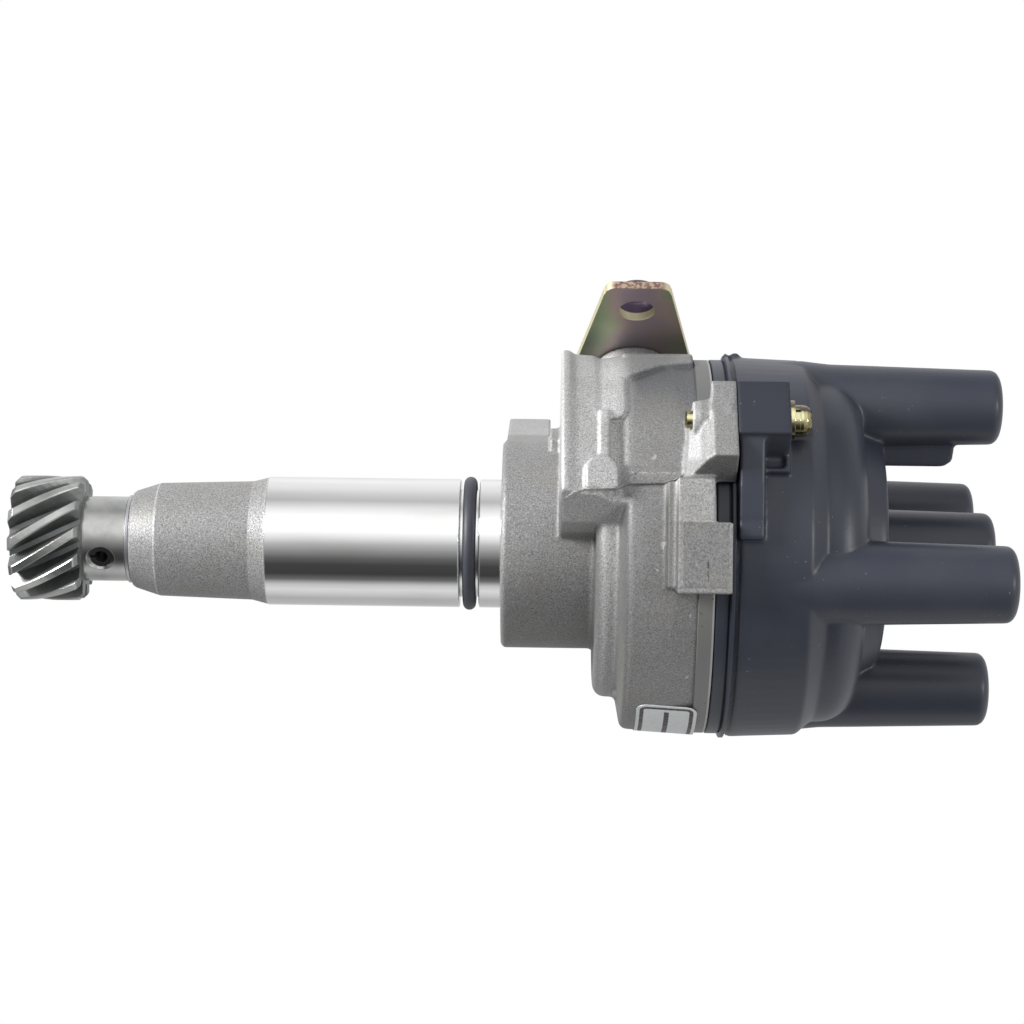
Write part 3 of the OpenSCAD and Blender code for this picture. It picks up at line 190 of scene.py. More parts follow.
# Drive gear: where the teeth end and the hub starts, and where a flank turns into the worn tip
TEETH_END = -96.4
TOOTH_TIP_R = 14.2

# Label plate, at a clock angle in radians, on the bowl's cone through two circles (radius, height)
LABEL_ANGLE = math.radians(166.0)
LABEL_Z = 37.75
LABEL_HALF_W = 15.1
LABEL_HALF_H = 6.8
LABEL_CORNER = 2.4
LABEL_RISE = (0.03, 0.16)
LABEL_STEPS = (48, 24)
LABEL_BORDER = (0.75, 1.65)
LABEL_BAR_HALF_H = 0.56
LABEL_BAR_MARGIN = 2.8
BOWL_CONE = ((42.6, 28.5), (43.5, 43.4))

# How finely the cast and moulded pieces are rounded, and which edges of turned pieces stay crisp
VOXEL = 0.42
FACES_KEPT = 0.3
CRISP_ANGLE = math.radians(9)

# Shader maths


class Value:
    """A number that a shader node gives. Arithmetic on it adds Math nodes."""

    def __init__(self, finish, socket):
        self.finish = finish
        self.socket = socket

    def _math(self, operation, *terms):
        return self.finish.node("ShaderNodeMath", {"operation": operation}, dict(enumerate(terms)))

    def __add__(self, other):
        return self._math("ADD", self, other)

    __radd__ = __add__

    def __sub__(self, other):
        return self._math("SUBTRACT", self, other)

    def __rsub__(self, other):
        return self._math("SUBTRACT", other, self)

    def __mul__(self, other):
        return self._math("MULTIPLY", self, other)

    __rmul__ = __mul__

    def __truediv__(self, other):
        return self._math("DIVIDE", self, other)

    def most(self, other):
        return self._math("MAXIMUM", self, other)

    def least(self, other):
        return self._math("MINIMUM", self, other)

    def root(self):
        return self._math("SQRT", self)

    def size(self):
        return self._math("ABSOLUTE", self)

    def step(self, low, high, start=0.0, end=1.0):
        """start below low and end above high, with a smooth change between them."""
        return self.finish.node(
            "ShaderNodeMapRange",
            {"interpolation_type": "SMOOTHSTEP"},
            {"Value": self, "From Min": low, "From Max": high, "To Min": start, "To Max": end},
        )

    def above(self, place, soft):
        """1 above a place and 0 below it, with an edge that is soft to either side."""
        return self.step(place - soft, place + soft)

    def below(self, place, soft):
        """1 below a place and 0 above it, with an edge that is soft to either side."""
        return self.step(place - soft, place + soft, 1.0, 0.0)

    def band(self, low, high, soft):
        """1 between low and high and 0 outside, with soft edges."""
        return self.above(low, soft) * self.below(high, soft)

    def near(self, place, core, edge):
        """1 within core of a place and 0 farther off than edge."""
        return (self - place).size().step(core, edge, 1.0, 0.0)


class Finish:
    """One material, or the world, built from nodes."""

    def __init__(self, name, owner=None):
        self.owner = owner or bpy.data.materials.new(name)
        self.owner.use_nodes = True
        self.tree = self.owner.node_tree
        self.tree.nodes.clear()

    def node(self, kind, settings=None, inputs=None, output=0):
        made = self.tree.nodes.new(kind)
        for key, value in (settings or {}).items():
            if key == "stops":
                set_stops(made.color_ramp, value)
            else:
                setattr(made, key, value)
        for key, value in (inputs or {}).items():
            if value is None:
                continue
            if isinstance(value, Value):
                self.tree.links.new(value.socket, made.inputs[key])
            else:
                made.inputs[key].default_value = value
        return Value(self, made.outputs[output])

    def end_with(self, surface, kind="ShaderNodeOutputMaterial"):
        """Ends the nodes with a surface, and gives the material or world that they belong to."""
        end = self.tree.nodes.new(kind)
        self.tree.links.new(surface.socket, end.inputs["Surface"])
        return self.owner

    def shader(self, **inputs):
        """Ends the material with a Principled shader. Underscores stand for spaces."""
        named = {key.replace("_", " "): value for key, value in inputs.items()}
        return self.end_with(self.node("ShaderNodeBsdfPrincipled", None, named))

    def parts(self, vector):
        """The three numbers of a vector."""
        split = self.node("ShaderNodeSeparateXYZ", None, {0: vector}).socket.node
        return [Value(self, part) for part in split.outputs]

    def here(self):
        """The place on the part, as the vector in metres that textures take."""
        return self.node("ShaderNodeTexCoord", None, None, "Object")

    def place(self, here):
        """x, y and z of a place, in mm."""
        return [part / MM for part in self.parts(here)]

    def towards(self, direction):
        """How much the surface faces a direction: 1 straight to it, 0 across it and -1 away."""
        normal = self.node("ShaderNodeTexCoord", None, None, "Normal")
        inputs = {0: normal, 1: direction}
        return self.node("ShaderNodeVectorMath", {"operation": "DOT_PRODUCT"}, inputs, "Value")

    def stretched(self, here, scale):
        return self.node("ShaderNodeVectorMath", {"operation": "MULTIPLY"}, {0: here, 1: scale})

    def noise(self, here, scale, detail=2.0, rough=0.5):
        """Clouds, about as many to a metre as scale says."""
        inputs = {"Vector": here, "Scale": scale, "Detail": detail, "Roughness": rough}
        return self.node("ShaderNodeTexNoise", None, inputs)

    def mix(self, share, first, second):
        inputs = {"Factor": share, "A": colour_of(first), "B": colour_of(second)}
        return self.node("ShaderNodeMix", {"data_type": "RGBA"}, inputs, "Result")

    def grey(self, level):
        """A colour with the same level in its three parts."""
        return self.node("ShaderNodeCombineColor", None, {0: level, 1: level, 2: level})

    def rounded(self, radius):
        """Shading that rounds sharp edges."""
        return self.node("ShaderNodeBevel", {"samples": 4}, {"Radius": radius * MM})

    def bump(self, height, depth, strength=1.0, normal=None):
        inputs = {"Height": height, "Distance": depth * MM, "Strength": strength, "Normal": normal}
        return self.node("ShaderNodeBump", None, inputs)


def set_stops(ramp, stops):
    while len(ramp.elements) > 1:
        ramp.elements.remove(ramp.elements[-1])
    for i, (at, colour) in enumerate(stops):
        stop = ramp.elements[0] if i == 0 else ramp.elements.new(at)
        stop.position = at
        stop.color = colour_of(colour)


def colour_of(value):
    """A colour with alpha, from a grey, three numbers or a link."""
    if isinstance(value, Value):
        return value
    if isinstance(value, (int, float)):
        return (value, value, value, 1.0)
    return (*value, 1.0)


# Finishes


def block_marks(f, x, z, radius, here):
    """What dressing and a scratch do to the tone of the locating block, with painted highlights on its
    bevels and painted shade in a groove.
    """
    raised = radius.above(BLOCK_R, 0.2) * z.above(BLOCK_START, 0.5)
    dressed = raised * x.band(*DRESSED_X, 0.15)
    block = raised * x.band(*BLOCK_X, 0.15)
    scratch = z.near(SCRATCH_Z, 0.1, 0.3) * x.band(*SCRATCH_X, 0.8) * dressed
    scratch = scratch * f.noise(here, 900.0).step(0.4, 0.55)
    # Painted highlights on the bevels, and painted shade in the groove beside them
    end_bevels = z.below(BEVEL_ENDS[0], 0.15).most(z.above(BEVEL_ENDS[1], 0.15))
    bevel_highlight = x.band(*BEVEL_X, 0.15).most(end_bevels) * dressed
    groove = x.band(*BLOCK_GROOVE_X, 0.2) * dressed
    return (1 - dressed * 0.14 - scratch * 0.6) * (1 + block * 0.45 + bevel_highlight * 0.28 - groove * 0.18)


def parting_flash(f, x, y, z, here, bowl):
    """Bright and dark parts of the flash where the two halves of the die met, chipped off in places."""
    front = y.below(-1.0, 1.0)
    chips = f.noise(here, 1100.0, 2.0)
    flash_line = (x + (chips - 0.5) * 1.4).near(FLASH_X, 0.10, 0.34) * front * z.band(*FLASH_Z, 0.5)
    neck_line = x.near(NECK_LINE_X, 0.05, 0.25) * front * z.band(*NECK_LINE_Z, 0.4)
    knocks = f.noise(here, 330.0, 1.0).step(0.725, 0.74) * bowl
    bright = (flash_line * chips.step(0.42, 0.6) + knocks + neck_line * 0.25).least(1)
    dark = flash_line * chips.step(0.36, 0.44, 1.0, 0.0)
    return bright, dark


def housing_finish():
    """One casting: rough nose, ground pilot, blasted neck and shoulder, and a darker bowl."""
    f = Finish("housing_metal")
    here = f.here()
    x, y, z = f.place(here)
    radius = (x * x + y * y).root()
    cloud = f.noise(here, 55.0, 3.0)
    grain = f.noise(here, 2100.0, 3.0, 0.6)
    speck = f.noise(here, 3400.0, 1.0)
    pilot = z.band(PILOT_END, 0.1, 0.1) * radius.below(PILOT_R + 0.85, 0.25)
    nose = z.below(PILOT_END - 0.2, 0.2)
    neck = z.band(0.0, NECK_TOP, 1.0) * radius.below(NECK_R, 1.5)
    blasted = z.below(BLASTED_TOP, 2.5)
    bowl = z.above(BOWL_START, 1.5) * radius.below(BOWL_SKIN_R, 0.3)
    ear = radius.above(EAR_R, 0.4) * z.above(EAR_START, 1.0)
    tone = CAST_TONE + blasted * 0.165 + ear * 0.03 - neck * 0.12 - nose * 0.10
    # The bowl is darker towards its top. Painted light makes the bowl's underside lighter, and painted shade
    # makes the neck's underside darker
    darkening_by_height = bowl * x.step(-40.5, -26.0, 0.50, 0.0)
    painted_underside_light_and_shade = bowl * x.step(18.0, 36.0, 0.0, 0.2) - neck * x.step(0.0, 16.0, 0.0, 0.22)
    # Painted highlights along the edge where the nose's cone starts and on the flare out to the pilot
    nose_edge_highlight = z.near(NOSE_EDGE, 0.08, 0.3) * 0.55 + z.band(FLARE_START, PILOT_END - 0.1, 0.15) * 0.16
    tone = tone * (1 - darkening_by_height + painted_underside_light_and_shade) * (1 + nose_edge_highlight)
    # Faces towards the gear: painted light above the parting line, painted shade below it
    gear_side_light_shade = f.towards((0, 0, -1)).step(0.2, 0.75) * z.above(4.0, 2.0)
    tone = tone * (1 + gear_side_light_shade * x.step(-16.0, -8.0, 0.6, -0.50))
    tone = tone * block_marks(f, x, z, radius, here)
    # Painted shade: high on the ear, the faces that look down are darker
    under = f.towards((1, 0, 0)).step(0.3, 0.8)
    tone = tone * (1 - under * ear * z.above(41.0, 1.0) * 0.3)
    # Painted light: the web beside the ear and the crest of the shoulder are lighter
    ear_web_light = ear * z.below(EAR_WEB_TOP, 0.5) * x.band(-36.0, -19.0, 1.0)
    shoulder_crest_light = z.band(20.5, 28.0, 1.5) * x.below(-27.5, 2.5) * (1 - ear)
    tone = tone * (1 + ear_web_light * 0.45 + shoulder_crest_light * 0.25)
    specks = (speck - 0.5) * (1.5 + blasted * 0.4) + (grain - 0.5) * (0.8 - blasted * 0.3)
    bright, dark = parting_flash(f, x, y, z, here, bowl)
    tone = tone * (0.93 + cloud * 0.14) * (1 + specks).most(0.3) * (1 + bright * 0.7 - dark * 0.75)
    warm = f.noise(here, 90.0, 2.0).step(0.45, 0.7)
    cast = f.mix(warm * 0.15, f.grey(tone), (0.24, 0.22, 0.16))
    cast = f.mix(darkening_by_height * 0.5, cast, (0.09, 0.10, 0.125))
    rings = f.noise(f.stretched(here, (30.0, 30.0, 5200.0)), 1.0, 2.0)
    stain = f.noise(f.stretched(here, (160.0, 160.0, 40.0)), 1.0, 3.0)
    ground = f.mix(stain.step(0.45, 0.75) * 0.35, (0.90, 0.90, 0.90), (0.72, 0.71, 0.67))
    height = grain * (1 - pilot) * (0.5 + blasted * 0.5) + rings * pilot * 0.06 + (bright - dark) * 0.7
    return f.shader(
        Base_Color=f.mix(pilot, cast, ground),
        Metallic=0.30 + pilot * 0.70,
        Roughness=0.56 - blasted * 0.08 - pilot * 0.44,
        Normal=f.bump(height, 0.16, 0.6, f.rounded(0.4)),
    )


def rim_finish():
    """The machined rim: smooth, with fine rings and a few specks."""
    f = Finish("turned_rim")
    here = f.here()
    x, y, z = f.place(here)
    rings = f.noise(f.stretched(here, (20.0, 20.0, 7000.0)), 1.0, 1.0)
    speck = f.noise(here, 700.0, 2.0)
    # Painted highlight along the rim's top edge
    edge = z.above(RIM[1] - 0.475, 0.075)
    # Darker towards the top, and a little darker towards the bottom
    darkening_by_height = x.step(-41.0, -20.0, 0.28, 0.0) + x.step(-15.0, 5.0, 0.0, 0.05)
    tone = (CAST_TONE + rings * 0.03) * (1 - speck.step(0.68, 0.74) * 0.5) * (1 - darkening_by_height) * (1 + edge * 1.1)
    return f.shader(
        Base_Color=f.mix(f.noise(here, 60.0).step(0.4, 0.7) * 0.3, f.grey(tone), (0.25, 0.245, 0.20)),
        Metallic=0.45,
        Roughness=0.46,
        Normal=f.bump(rings + speck * 0.6, 0.05, 0.4, f.rounded(0.2)),
    )


def moulded(name, colour, rough):
    """Moulded plastic or pressed carbon: satin, with a slight orange peel and a little dust."""
    f = Finish(name)
    here = f.here()
    peel = f.noise(here, 700.0, 3.0)
    cloud = f.noise(here, 50.0, 4.0)
    dust_and_bounce_light = [min(1.0, c * 1.35 + 0.01) for c in colour]
    return f.shader(
        Base_Color=f.mix(cloud.step(0.35, 0.75), colour, dust_and_bounce_light),
        Roughness=rough + cloud * 0.1,
        Normal=f.bump(peel, 0.05, 0.4, f.rounded(0.4)),
    )


def machined(name, colour, rough=0.3, metallic=1.0):
    """Turned or stamped metal with fine lines."""
    f = Finish(name)
    here = f.here()
    lines = f.noise(f.stretched(here, (300.0, 300.0, 4000.0)), 1.0, 2.0)
    cloud = f.noise(here, 120.0, 3.0)
    darker = [c * 0.82 for c in colour]
    return f.shader(
        Base_Color=f.mix(cloud.step(0.35, 0.7), colour, darker),
        Metallic=metallic,
        Roughness=rough + cloud * 0.1,
        Normal=f.bump(lines, 0.01, 0.5, f.rounded(0.2)),
    )


def gear_finish():
    """Hobbed teeth: dark oily flanks, bright worn tips and a turned hub."""
    f = Finish("gear_steel")
    here = f.here()
    x, y, z = f.place(here)
    radius = (x * x + y * y).root()
    teeth = z.below(TEETH_END, 0.2)
    flank = teeth * (1 - radius.above(TOOTH_TIP_R, 0.2))
    oil = f.noise(here, 160.0, 4.0)
    lines = f.noise(f.stretched(here, (200.0, 200.0, 3500.0)), 1.0, 2.0)
    colour = f.mix(oil.step(0.35, 0.7), (0.56, 0.56, 0.54), (0.42, 0.43, 0.42))
    dark = f.mix(oil.step(0.3, 0.7), (0.10, 0.105, 0.11), (0.24, 0.25, 0.25))
    return f.shader(
        Base_Color=f.mix(flank * 0.8, colour, dark),
        Metallic=1.0,
        Roughness=0.17 + oil * 0.08 + teeth * 0.10 + flank * 0.14,
        Normal=f.bump(lines, 0.02, 0.5, f.rounded(0.25)),
    )


def bracket_finish():
    """Chromate on the bracket: olive at the sides, purple and brown clouds, bare gold on cut edges."""
    f = Finish("bracket_plate")
    here = f.here()
    x, y, z = f.place(here)
    out = x * BRACKET_FACING[0] + y * BRACKET_FACING[1]
    side = (x * BRACKET_FACING[1] - y * BRACKET_FACING[0]).size()
    # The plate's faces, with painted shade darkening the root
    cloud = f.noise(here, 70.0, 2.0)
    cloud = cloud * 0.45 + 0.46 - ((z - BRACKET_Z).size() / 9.0).least(1.0) * 0.26
    stops = (
        (0.30, (0.26, 0.37, 0.22)),
        (0.44, (0.37, 0.42, 0.25)),
        (0.54, (0.50, 0.38, 0.35)),
        (0.66, (0.42, 0.34, 0.38)),
    )
    face = f.node("ShaderNodeValToRGB", {"stops": stops}, {"Fac": cloud})
    face = f.mix(side.step(9.0, 21.0, 0.62, 0.0), face, (0.10, 0.10, 0.10))
    # The cut edges: gold, with a brown patchy strip along the end and painted shade inside the collar
    patch = f.noise(here, 1400.0, 3.0)
    strip = z.near(BRACKET_Z, 5.0, 7.0) * side.above(29.5, 0.5)
    edge = f.mix(patch.step(0.36, 0.6), (0.48, 0.38, 0.27), (0.20, 0.11, 0.10))
    edge = f.mix(strip, (0.66, 0.60, 0.40), edge)
    edge = f.mix(out.step(BRACKET_R, BRACKET_R + 0.3), edge, (0.10, 0.07, 0.12))
    cut = f.towards(BRACKET_FACING).size().step(0.35, 0.6, 1.0, 0.0)
    return f.shader(
        Base_Color=f.mix(cut, face, edge),
        Metallic=0.6,
        Roughness=0.42 + f.noise(here, 400.0) * 0.12,
        Normal=f.bump(f.noise(here, 1500.0), 0.01, 0.4, f.rounded(0.3)),
    )


def yellow_zinc():
    """Bright yellow chromate on small hardware, with green and pink patches."""
    f = Finish("yellow_zinc")
    here = f.here()
    cloud = f.noise(here, 420.0, 2.0)
    colour = f.mix(cloud.step(0.35, 0.5), (0.20, 0.16, 0.16), (0.56, 0.52, 0.26))
    colour = f.mix(cloud.step(0.60, 0.68), colour, (0.52, 0.40, 0.34))
    # Painted reflection: darker round the side of a head, and a painted highlight where it faces the front
    # most
    front = f.towards((-0.25, -0.97, 0))
    colour = f.mix(front.band(0.30, 0.82, 0.12) * 0.7, colour, (0.09, 0.07, 0.04))
    return f.shader(
        Base_Color=f.mix(front.step(0.92, 0.99) * 0.7, colour, (0.95, 0.92, 0.55)),
        Metallic=1.0,
        Roughness=0.10 + f.noise(here, 900.0) * 0.1,
        Normal=f.bump(f.noise(here, 2400.0), 0.01, 0.4, f.rounded(0.25)),
    )


def rubber(name):
    """Black rubber: satin and faintly cloudy."""
    f = Finish(name)
    here = f.here()
    return f.shader(
        Base_Color=f.mix(f.noise(here, 150.0), (0.03, 0.032, 0.042), (0.06, 0.062, 0.078)),
        Roughness=0.42 + f.noise(here, 300.0) * 0.12,
        Normal=f.bump(f.noise(here, 1800.0), 0.01, 0.3),
    )


def cap_finish():
    """Moulded black plastic: dark, satin, with fine specks, and painted bounce light that lightens the faces
    looking down.
    """
    f = Finish("cap_plastic")
    here = f.here()
    x, y, z = f.place(here)
    cloud = f.noise(here, 45.0, 4.0)
    grain = f.noise(here, 2300.0, 3.0, 0.6)
    specks = f.noise(here, 1300.0, 1.0).step(0.775, 0.80)
    # The lug under the front screw is darker and rougher on its flat face
    lug = (x * x + y * y).root().step(LUG_R, LUG_R + 0.5) * z.band(*LUG_Z, 0.3)
    lug = lug * y.below(-15.0, 5.0) * x.below(LUG_X, 0.5)
    base = f.mix(cloud.step(0.35, 0.75) * (0.6 + grain * 0.8), (0.020, 0.025, 0.040), (0.032, 0.036, 0.050))
    base = f.mix(lug * 0.6, base, (0.010, 0.012, 0.022))
    # Painted bounce light: faces that look down and to the front are lighter, except on the lug
    dust_and_bounce_light = f.towards((0.8, -0.6, 0)).step(0.2, 1.0) * (1 - lug)
    base = f.mix(dust_and_bounce_light * 0.16, base, (0.10, 0.11, 0.13))
    return f.shader(
        Base_Color=f.mix(specks * 0.35, base, (0.30, 0.30, 0.31)),
        Roughness=0.34 + cloud * 0.08 + lug * 0.3,
        Normal=f.bump(grain, 0.05, 0.35, f.rounded(0.35)),
    )


def bowl_radius(height):
    """The bowl's radius at a height, on its slight cone."""
    (low_r, low), (high_r, high) = BOWL_CONE
    return low_r + (high_r - low_r) * (height - low) / (high - low)


def label_finish():
    """Brushed foil with a printed border and bar."""
    f = Finish("label_foil")
    here = f.here()
    x, y, z = f.place(here)
    side = x * math.sin(LABEL_ANGLE) - y * math.cos(LABEL_ANGLE)
    depth = x * -math.cos(LABEL_ANGLE) - y * math.sin(LABEL_ANGLE)
    turn = f.node("ShaderNodeMath", {"operation": "ARCTAN2"}, {0: side, 1: depth})
    across = turn.size() * bowl_radius(LABEL_Z)
    along = (z - LABEL_Z).size()
    beside = (across - (LABEL_HALF_W - LABEL_CORNER)).most(0)
    above = (along - (LABEL_HALF_H - LABEL_CORNER)).most(0)
    inset = LABEL_CORNER - (beside * beside + above * above).root()
    border = inset.band(*LABEL_BORDER, 0.06)
    bar = along.below(LABEL_BAR_HALF_H, 0.06) * across.below(LABEL_HALF_W - LABEL_BAR_MARGIN, 0.1)
    wear = f.noise(here, 900.0, 3.0)
    foil = f.mix(wear.step(0.4, 0.7) * 0.4, (0.74, 0.77, 0.76), (0.60, 0.63, 0.62))
    return f.shader(
        Base_Color=f.mix(border.most(bar) * (0.75 + wear * 0.4).least(1), foil, (0.06, 0.04, 0.055)),
        Metallic=0.35,
        Roughness=0.42 + wear * 0.1,
        Normal=f.bump(wear, 0.02, 0.4),
    )


finishes = {
    "cast_aluminium": housing_finish(),
    "turned_rim": rim_finish(),
    "gear_steel": gear_finish(),
    "bearing_steel": machined("bearing_steel", (0.75, 0.76, 0.78), 0.12),
    "spring_steel": machined("spring_steel", (0.05, 0.05, 0.055), 0.4, 0.6),
    "bearing_bronze": machined("bearing_bronze", (0.55, 0.40, 0.22), 0.35),
    "black_rubber": rubber("black_rubber"),
    "cap_plastic": cap_finish(),
    "sensor_plastic": moulded("sensor_plastic", (0.035, 0.035, 0.04), 0.5),
    "rotor_plastic": moulded("rotor_plastic", (0.14, 0.055, 0.035), 0.45),
    "zinc_plate": yellow_zinc(),
    "bracket_plate": bracket_finish(),
    "stamped_steel": machined("stamped_steel", (0.58, 0.59, 0.61), 0.34),
    "contact_metal": machined("contact_metal", (0.78, 0.78, 0.76), 0.28),
    "contact_brass": machined("contact_brass", (0.78, 0.58, 0.28), 0.3),
    "carbon": moulded("carbon", (0.03, 0.03, 0.03), 0.6),
    "label_foil": label_finish(),
}
for row in frame["record"]["subparts"]:
    mesh = nodes[row["node"]].data
    mesh.materials.clear()
    mesh.materials.append(finishes[row["material_slot"]])
nodes["wire_bracket"].data.materials[0] = finishes["bracket_plate"]
nodes["thrust_washer"].data.materials[0] = finishes["stamped_steel"]

# Tools for the pieces


def new_piece(name, work, finish, body="housing_body"):
    """A piece from a bmesh, with its finish, that rides on a body."""
    mesh = bpy.data.meshes.new(name)
    work.to_mesh(mesh)
    work.free()
    mesh.materials.append(finishes[finish])
    mesh.shade_smooth()
    piece = bpy.data.objects.new(name, mesh)
    bpy.context.scene.collection.objects.link(piece)
    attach(piece, body)
    return piece


def node_copy(node):
    """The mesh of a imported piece, with its faces joined."""
    work = bmesh.new()
    work.from_mesh(nodes[node].data)
    bmesh.ops.remove_doubles(work, verts=work.verts, dist=1e-7)
    return work


def keep_above(work, height):
    """Cuts a closed mesh across the shaft, drops what is below and closes it."""
    bmesh.ops.bisect_plane(
        work,
        geom=work.verts[:] + work.edges[:] + work.faces[:],
        dist=1e-7,
        plane_co=(0, 0, height * MM),
        plane_no=(0, 0, 1),
        clear_inner=True,
    )
    rim = [edge for edge in work.edges if edge.is_boundary]
    bmesh.ops.triangle_fill(work, edges=rim, use_beauty=True, normal=(0, 0, -1))


def lathe(section, steps=180):
    """A closed shape turned about the shaft, from points (radius, height) round its section."""
    work = bmesh.new()
    turns = [2 * math.pi * i / steps for i in range(steps)]
    rings = [
        [work.verts.new((r * MM * math.cos(a), r * MM * math.sin(a), z * MM)) for a in turns]
        for r, z in section
    ]
    for k, ring in enumerate(rings):
        above = rings[(k + 1) % len(rings)]
        for i in range(steps):
            j = (i + 1) % steps
            work.faces.new((ring[i], ring[j], above[j], above[i]))
    bmesh.ops.recalc_face_normals(work, faces=work.faces)
    return work


def turned(name, section, finish):
    """A turned piece with crisp edges."""
    piece = new_piece(name, lathe(section), finish)
    piece.data.set_sharp_from_angle(angle=CRISP_ANGLE)


def at_clock(clock, out, side, height):
    """A place in metres: out from the shaft at a clock angle, side along the rim and up."""
    a = math.radians(clock + 180)
    x = math.cos(a) * out - math.sin(a) * side
    y = math.sin(a) * out + math.cos(a) * side
    return Vector((x, y, height)) * MM


def add_hull(work, points):
    """Joins the smallest closed form round some points."""
    made = bmesh.ops.convex_hull(work, input=[work.verts.new(point) for point in points])
    inside = made["geom_interior"] + made["geom_unused"]
    spare = {item for item in inside if isinstance(item, bmesh.types.BMVert)}
    bmesh.ops.delete(work, geom=list(spare), context="VERTS")


def sink_ring(work, radii, heights, depth):
    """Moves the vertices of a turned face inwards, so that a crisper ring can take its place."""
    for vert in work.verts:
        reach = math.hypot(vert.co.x, vert.co.y)
        if radii[0] * MM < reach < radii[1] * MM and heights[0] * MM < vert.co.z < heights[1] * MM:
            vert.co.x *= 1 - depth * MM / reach
            vert.co.y *= 1 - depth * MM / reach


def soften(piece, rounds):
    """Rounds a piece's edges and corners as a mould leaves them."""
    remesh = piece.modifiers.new("remesh", "REMESH")
    remesh.mode = "VOXEL"
    remesh.voxel_size = VOXEL * MM
    smooth = piece.modifiers.new("smooth", "SMOOTH")
    smooth.factor = 0.5
    smooth.iterations = rounds
    thin = piece.modifiers.new("thin", "DECIMATE")
    thin.ratio = FACES_KEPT
    shape = piece.evaluated_get(bpy.context.evaluated_depsgraph_get())
    mesh = bpy.data.meshes.new_from_object(shape)
    piece.modifiers.clear()
    piece.data = mesh
    mesh.shade_smooth()


# Housing


def raise_foot(work):
    """Lifts the bowl's foot where it runs along the front and below."""
    for vert in work.verts:
        reach = math.hypot(vert.co.x, vert.co.y) / MM
        height = vert.co.z / MM
        in_foot = BOWL_FOOT_R[0] < reach < BOWL_FOOT_R[1] and BOWL_FOOT_Z[0] < height < BOWL_FOOT_Z[1]
        if in_foot and vert.co.x > BOWL_FOOT_X * MM:
            vert.co.z += BOWL_FOOT_SHIFT * MM


def bracket_pad(work, rows):
    """Metal under the bracket's seat, as thick as its depth and from its clock angle to each row's."""
    points = []
    for height, reach, end in rows:
        for i in range(PAD_STEPS + 1):
            clock = PAD_CLOCK + (end - PAD_CLOCK) * i / PAD_STEPS
            points += [at_clock(clock, reach, 0, height), at_clock(clock, reach - PAD_DEPTH, 0, height)]
    add_hull(work, points)


def screw_boss(work, clock):
    """A little metal that covers the end of a screw of the base plate."""
    turns = [2 * math.pi * i / BOSS_SIDES for i in range(BOSS_SIDES)]
    points = [
        at_clock(clock, BASE_SCREW_REACH + r * math.cos(a), r * math.sin(a), height)
        for r, height in BOSS for a in turns
    ]
    add_hull(work, points)


def housing_casting():
    """Neck, shoulder, bowl, ears and block in one casting, above the turned shank."""
    work = node_copy("housing")
    raise_foot(work)
    sink_ring(work, RIM_SINK_R, (RIM[0] - 0.1, RIM[1] + 0.1), RIM_SINK)
    keep_above(work, SHANK_TOP)
    # The pad runs down into the thick metal above the shoulder, and thinner along the bowl
    bracket_pad(work, PAD)
    bracket_pad(work, PAD_STRIP)
    for clock in BASE_SCREW_CLOCKS:
        screw_boss(work, clock)
    casting = new_piece("housing_casting", work, "cast_aluminium")
    soften(casting, rounds=4)
    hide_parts("housing")
    return casting


def housing_shank():
    """Nose with its cone and flare, ground pilot with the O-ring's groove, and the bore."""
    section = [
        (NOSE_END_R, NOSE_END),
        (NOSE_END_R + 0.55, NOSE_END + 0.25),
        (NOSE_END_R + 0.95, NOSE_END + 0.8),
        (NOSE_LOW_R - 0.15, NOSE_EDGE - 0.3),
        (NOSE_LOW_R, NOSE_EDGE + 0.3),
        (NOSE_ROOT_R, FLARE_START),
        (PILOT_R - 0.15, PILOT_END - 0.1),
        (PILOT_R - 0.12, PILOT_END),
        (PILOT_R, PILOT_END + 0.12),
        (PILOT_R, GROOVE[0] - BROKEN_EDGE),
        (PILOT_R - BROKEN_EDGE, GROOVE[0]),
        (GROOVE_R, GROOVE[0]),
        (GROOVE_R, GROOVE[1]),
        (PILOT_R - BROKEN_EDGE, GROOVE[1]),
        (PILOT_R, GROOVE[1] + BROKEN_EDGE),
        (PILOT_R, SHANK_TOP + 0.2),
        (BORE_R, SHANK_TOP + 0.2),
        (BORE_R, BUSH_TOP + 1),
        (BUSH_R, BUSH_TOP),
        (BUSH_R, NOSE_END),
    ]
    turned("housing_shank", section, "cast_aluminium")


def housing_rim():
    """The bowl's turned rim."""
    section = [
        (RIM_R - 0.4, RIM[0] + 0.05),
        (RIM_R, RIM[0] + 0.2),
        (RIM_R, RIM[1] - 0.12),
        (RIM_R - 0.15, RIM[1]),
        (RIM_R - RIM_WALL, RIM[1]),
        (RIM_R - RIM_WALL, RIM[0] + 0.05),
    ]
    turned("housing_rim", section, "turned_rim")


def bracket_collar_edge():
    """The drawn edge of the collar round the bracket's hole."""
    work = lathe(COLLAR_EDGE, steps=48)
    outwards = Matrix.Rotation(math.pi / 2, 4, "Y")
    to_clock = Matrix.Rotation(math.radians(BRACKET_CLOCK + 180), 4, "Z")
    place = Matrix.Translation(at_clock(BRACKET_CLOCK, 0, COLLAR_SIDE, BRACKET_Z))
    bmesh.ops.transform(work, matrix=place @ to_clock @ outwards, verts=work.verts)
    new_piece("bracket_collar_edge", work, "bracket_plate")


def along_path(points, step):
    """Places at about equal steps along straight stretches between points."""
    places = []
    for (x0, z0), (x1, z1) in zip(points, points[1:]):
        count = max(1, round(math.hypot(x1 - x0, z1 - z0) / step))
        places += [(x0 + (x1 - x0) * i / count, z0 + (z1 - z0) * i / count) for i in range(count)]
    return places + [points[-1]]


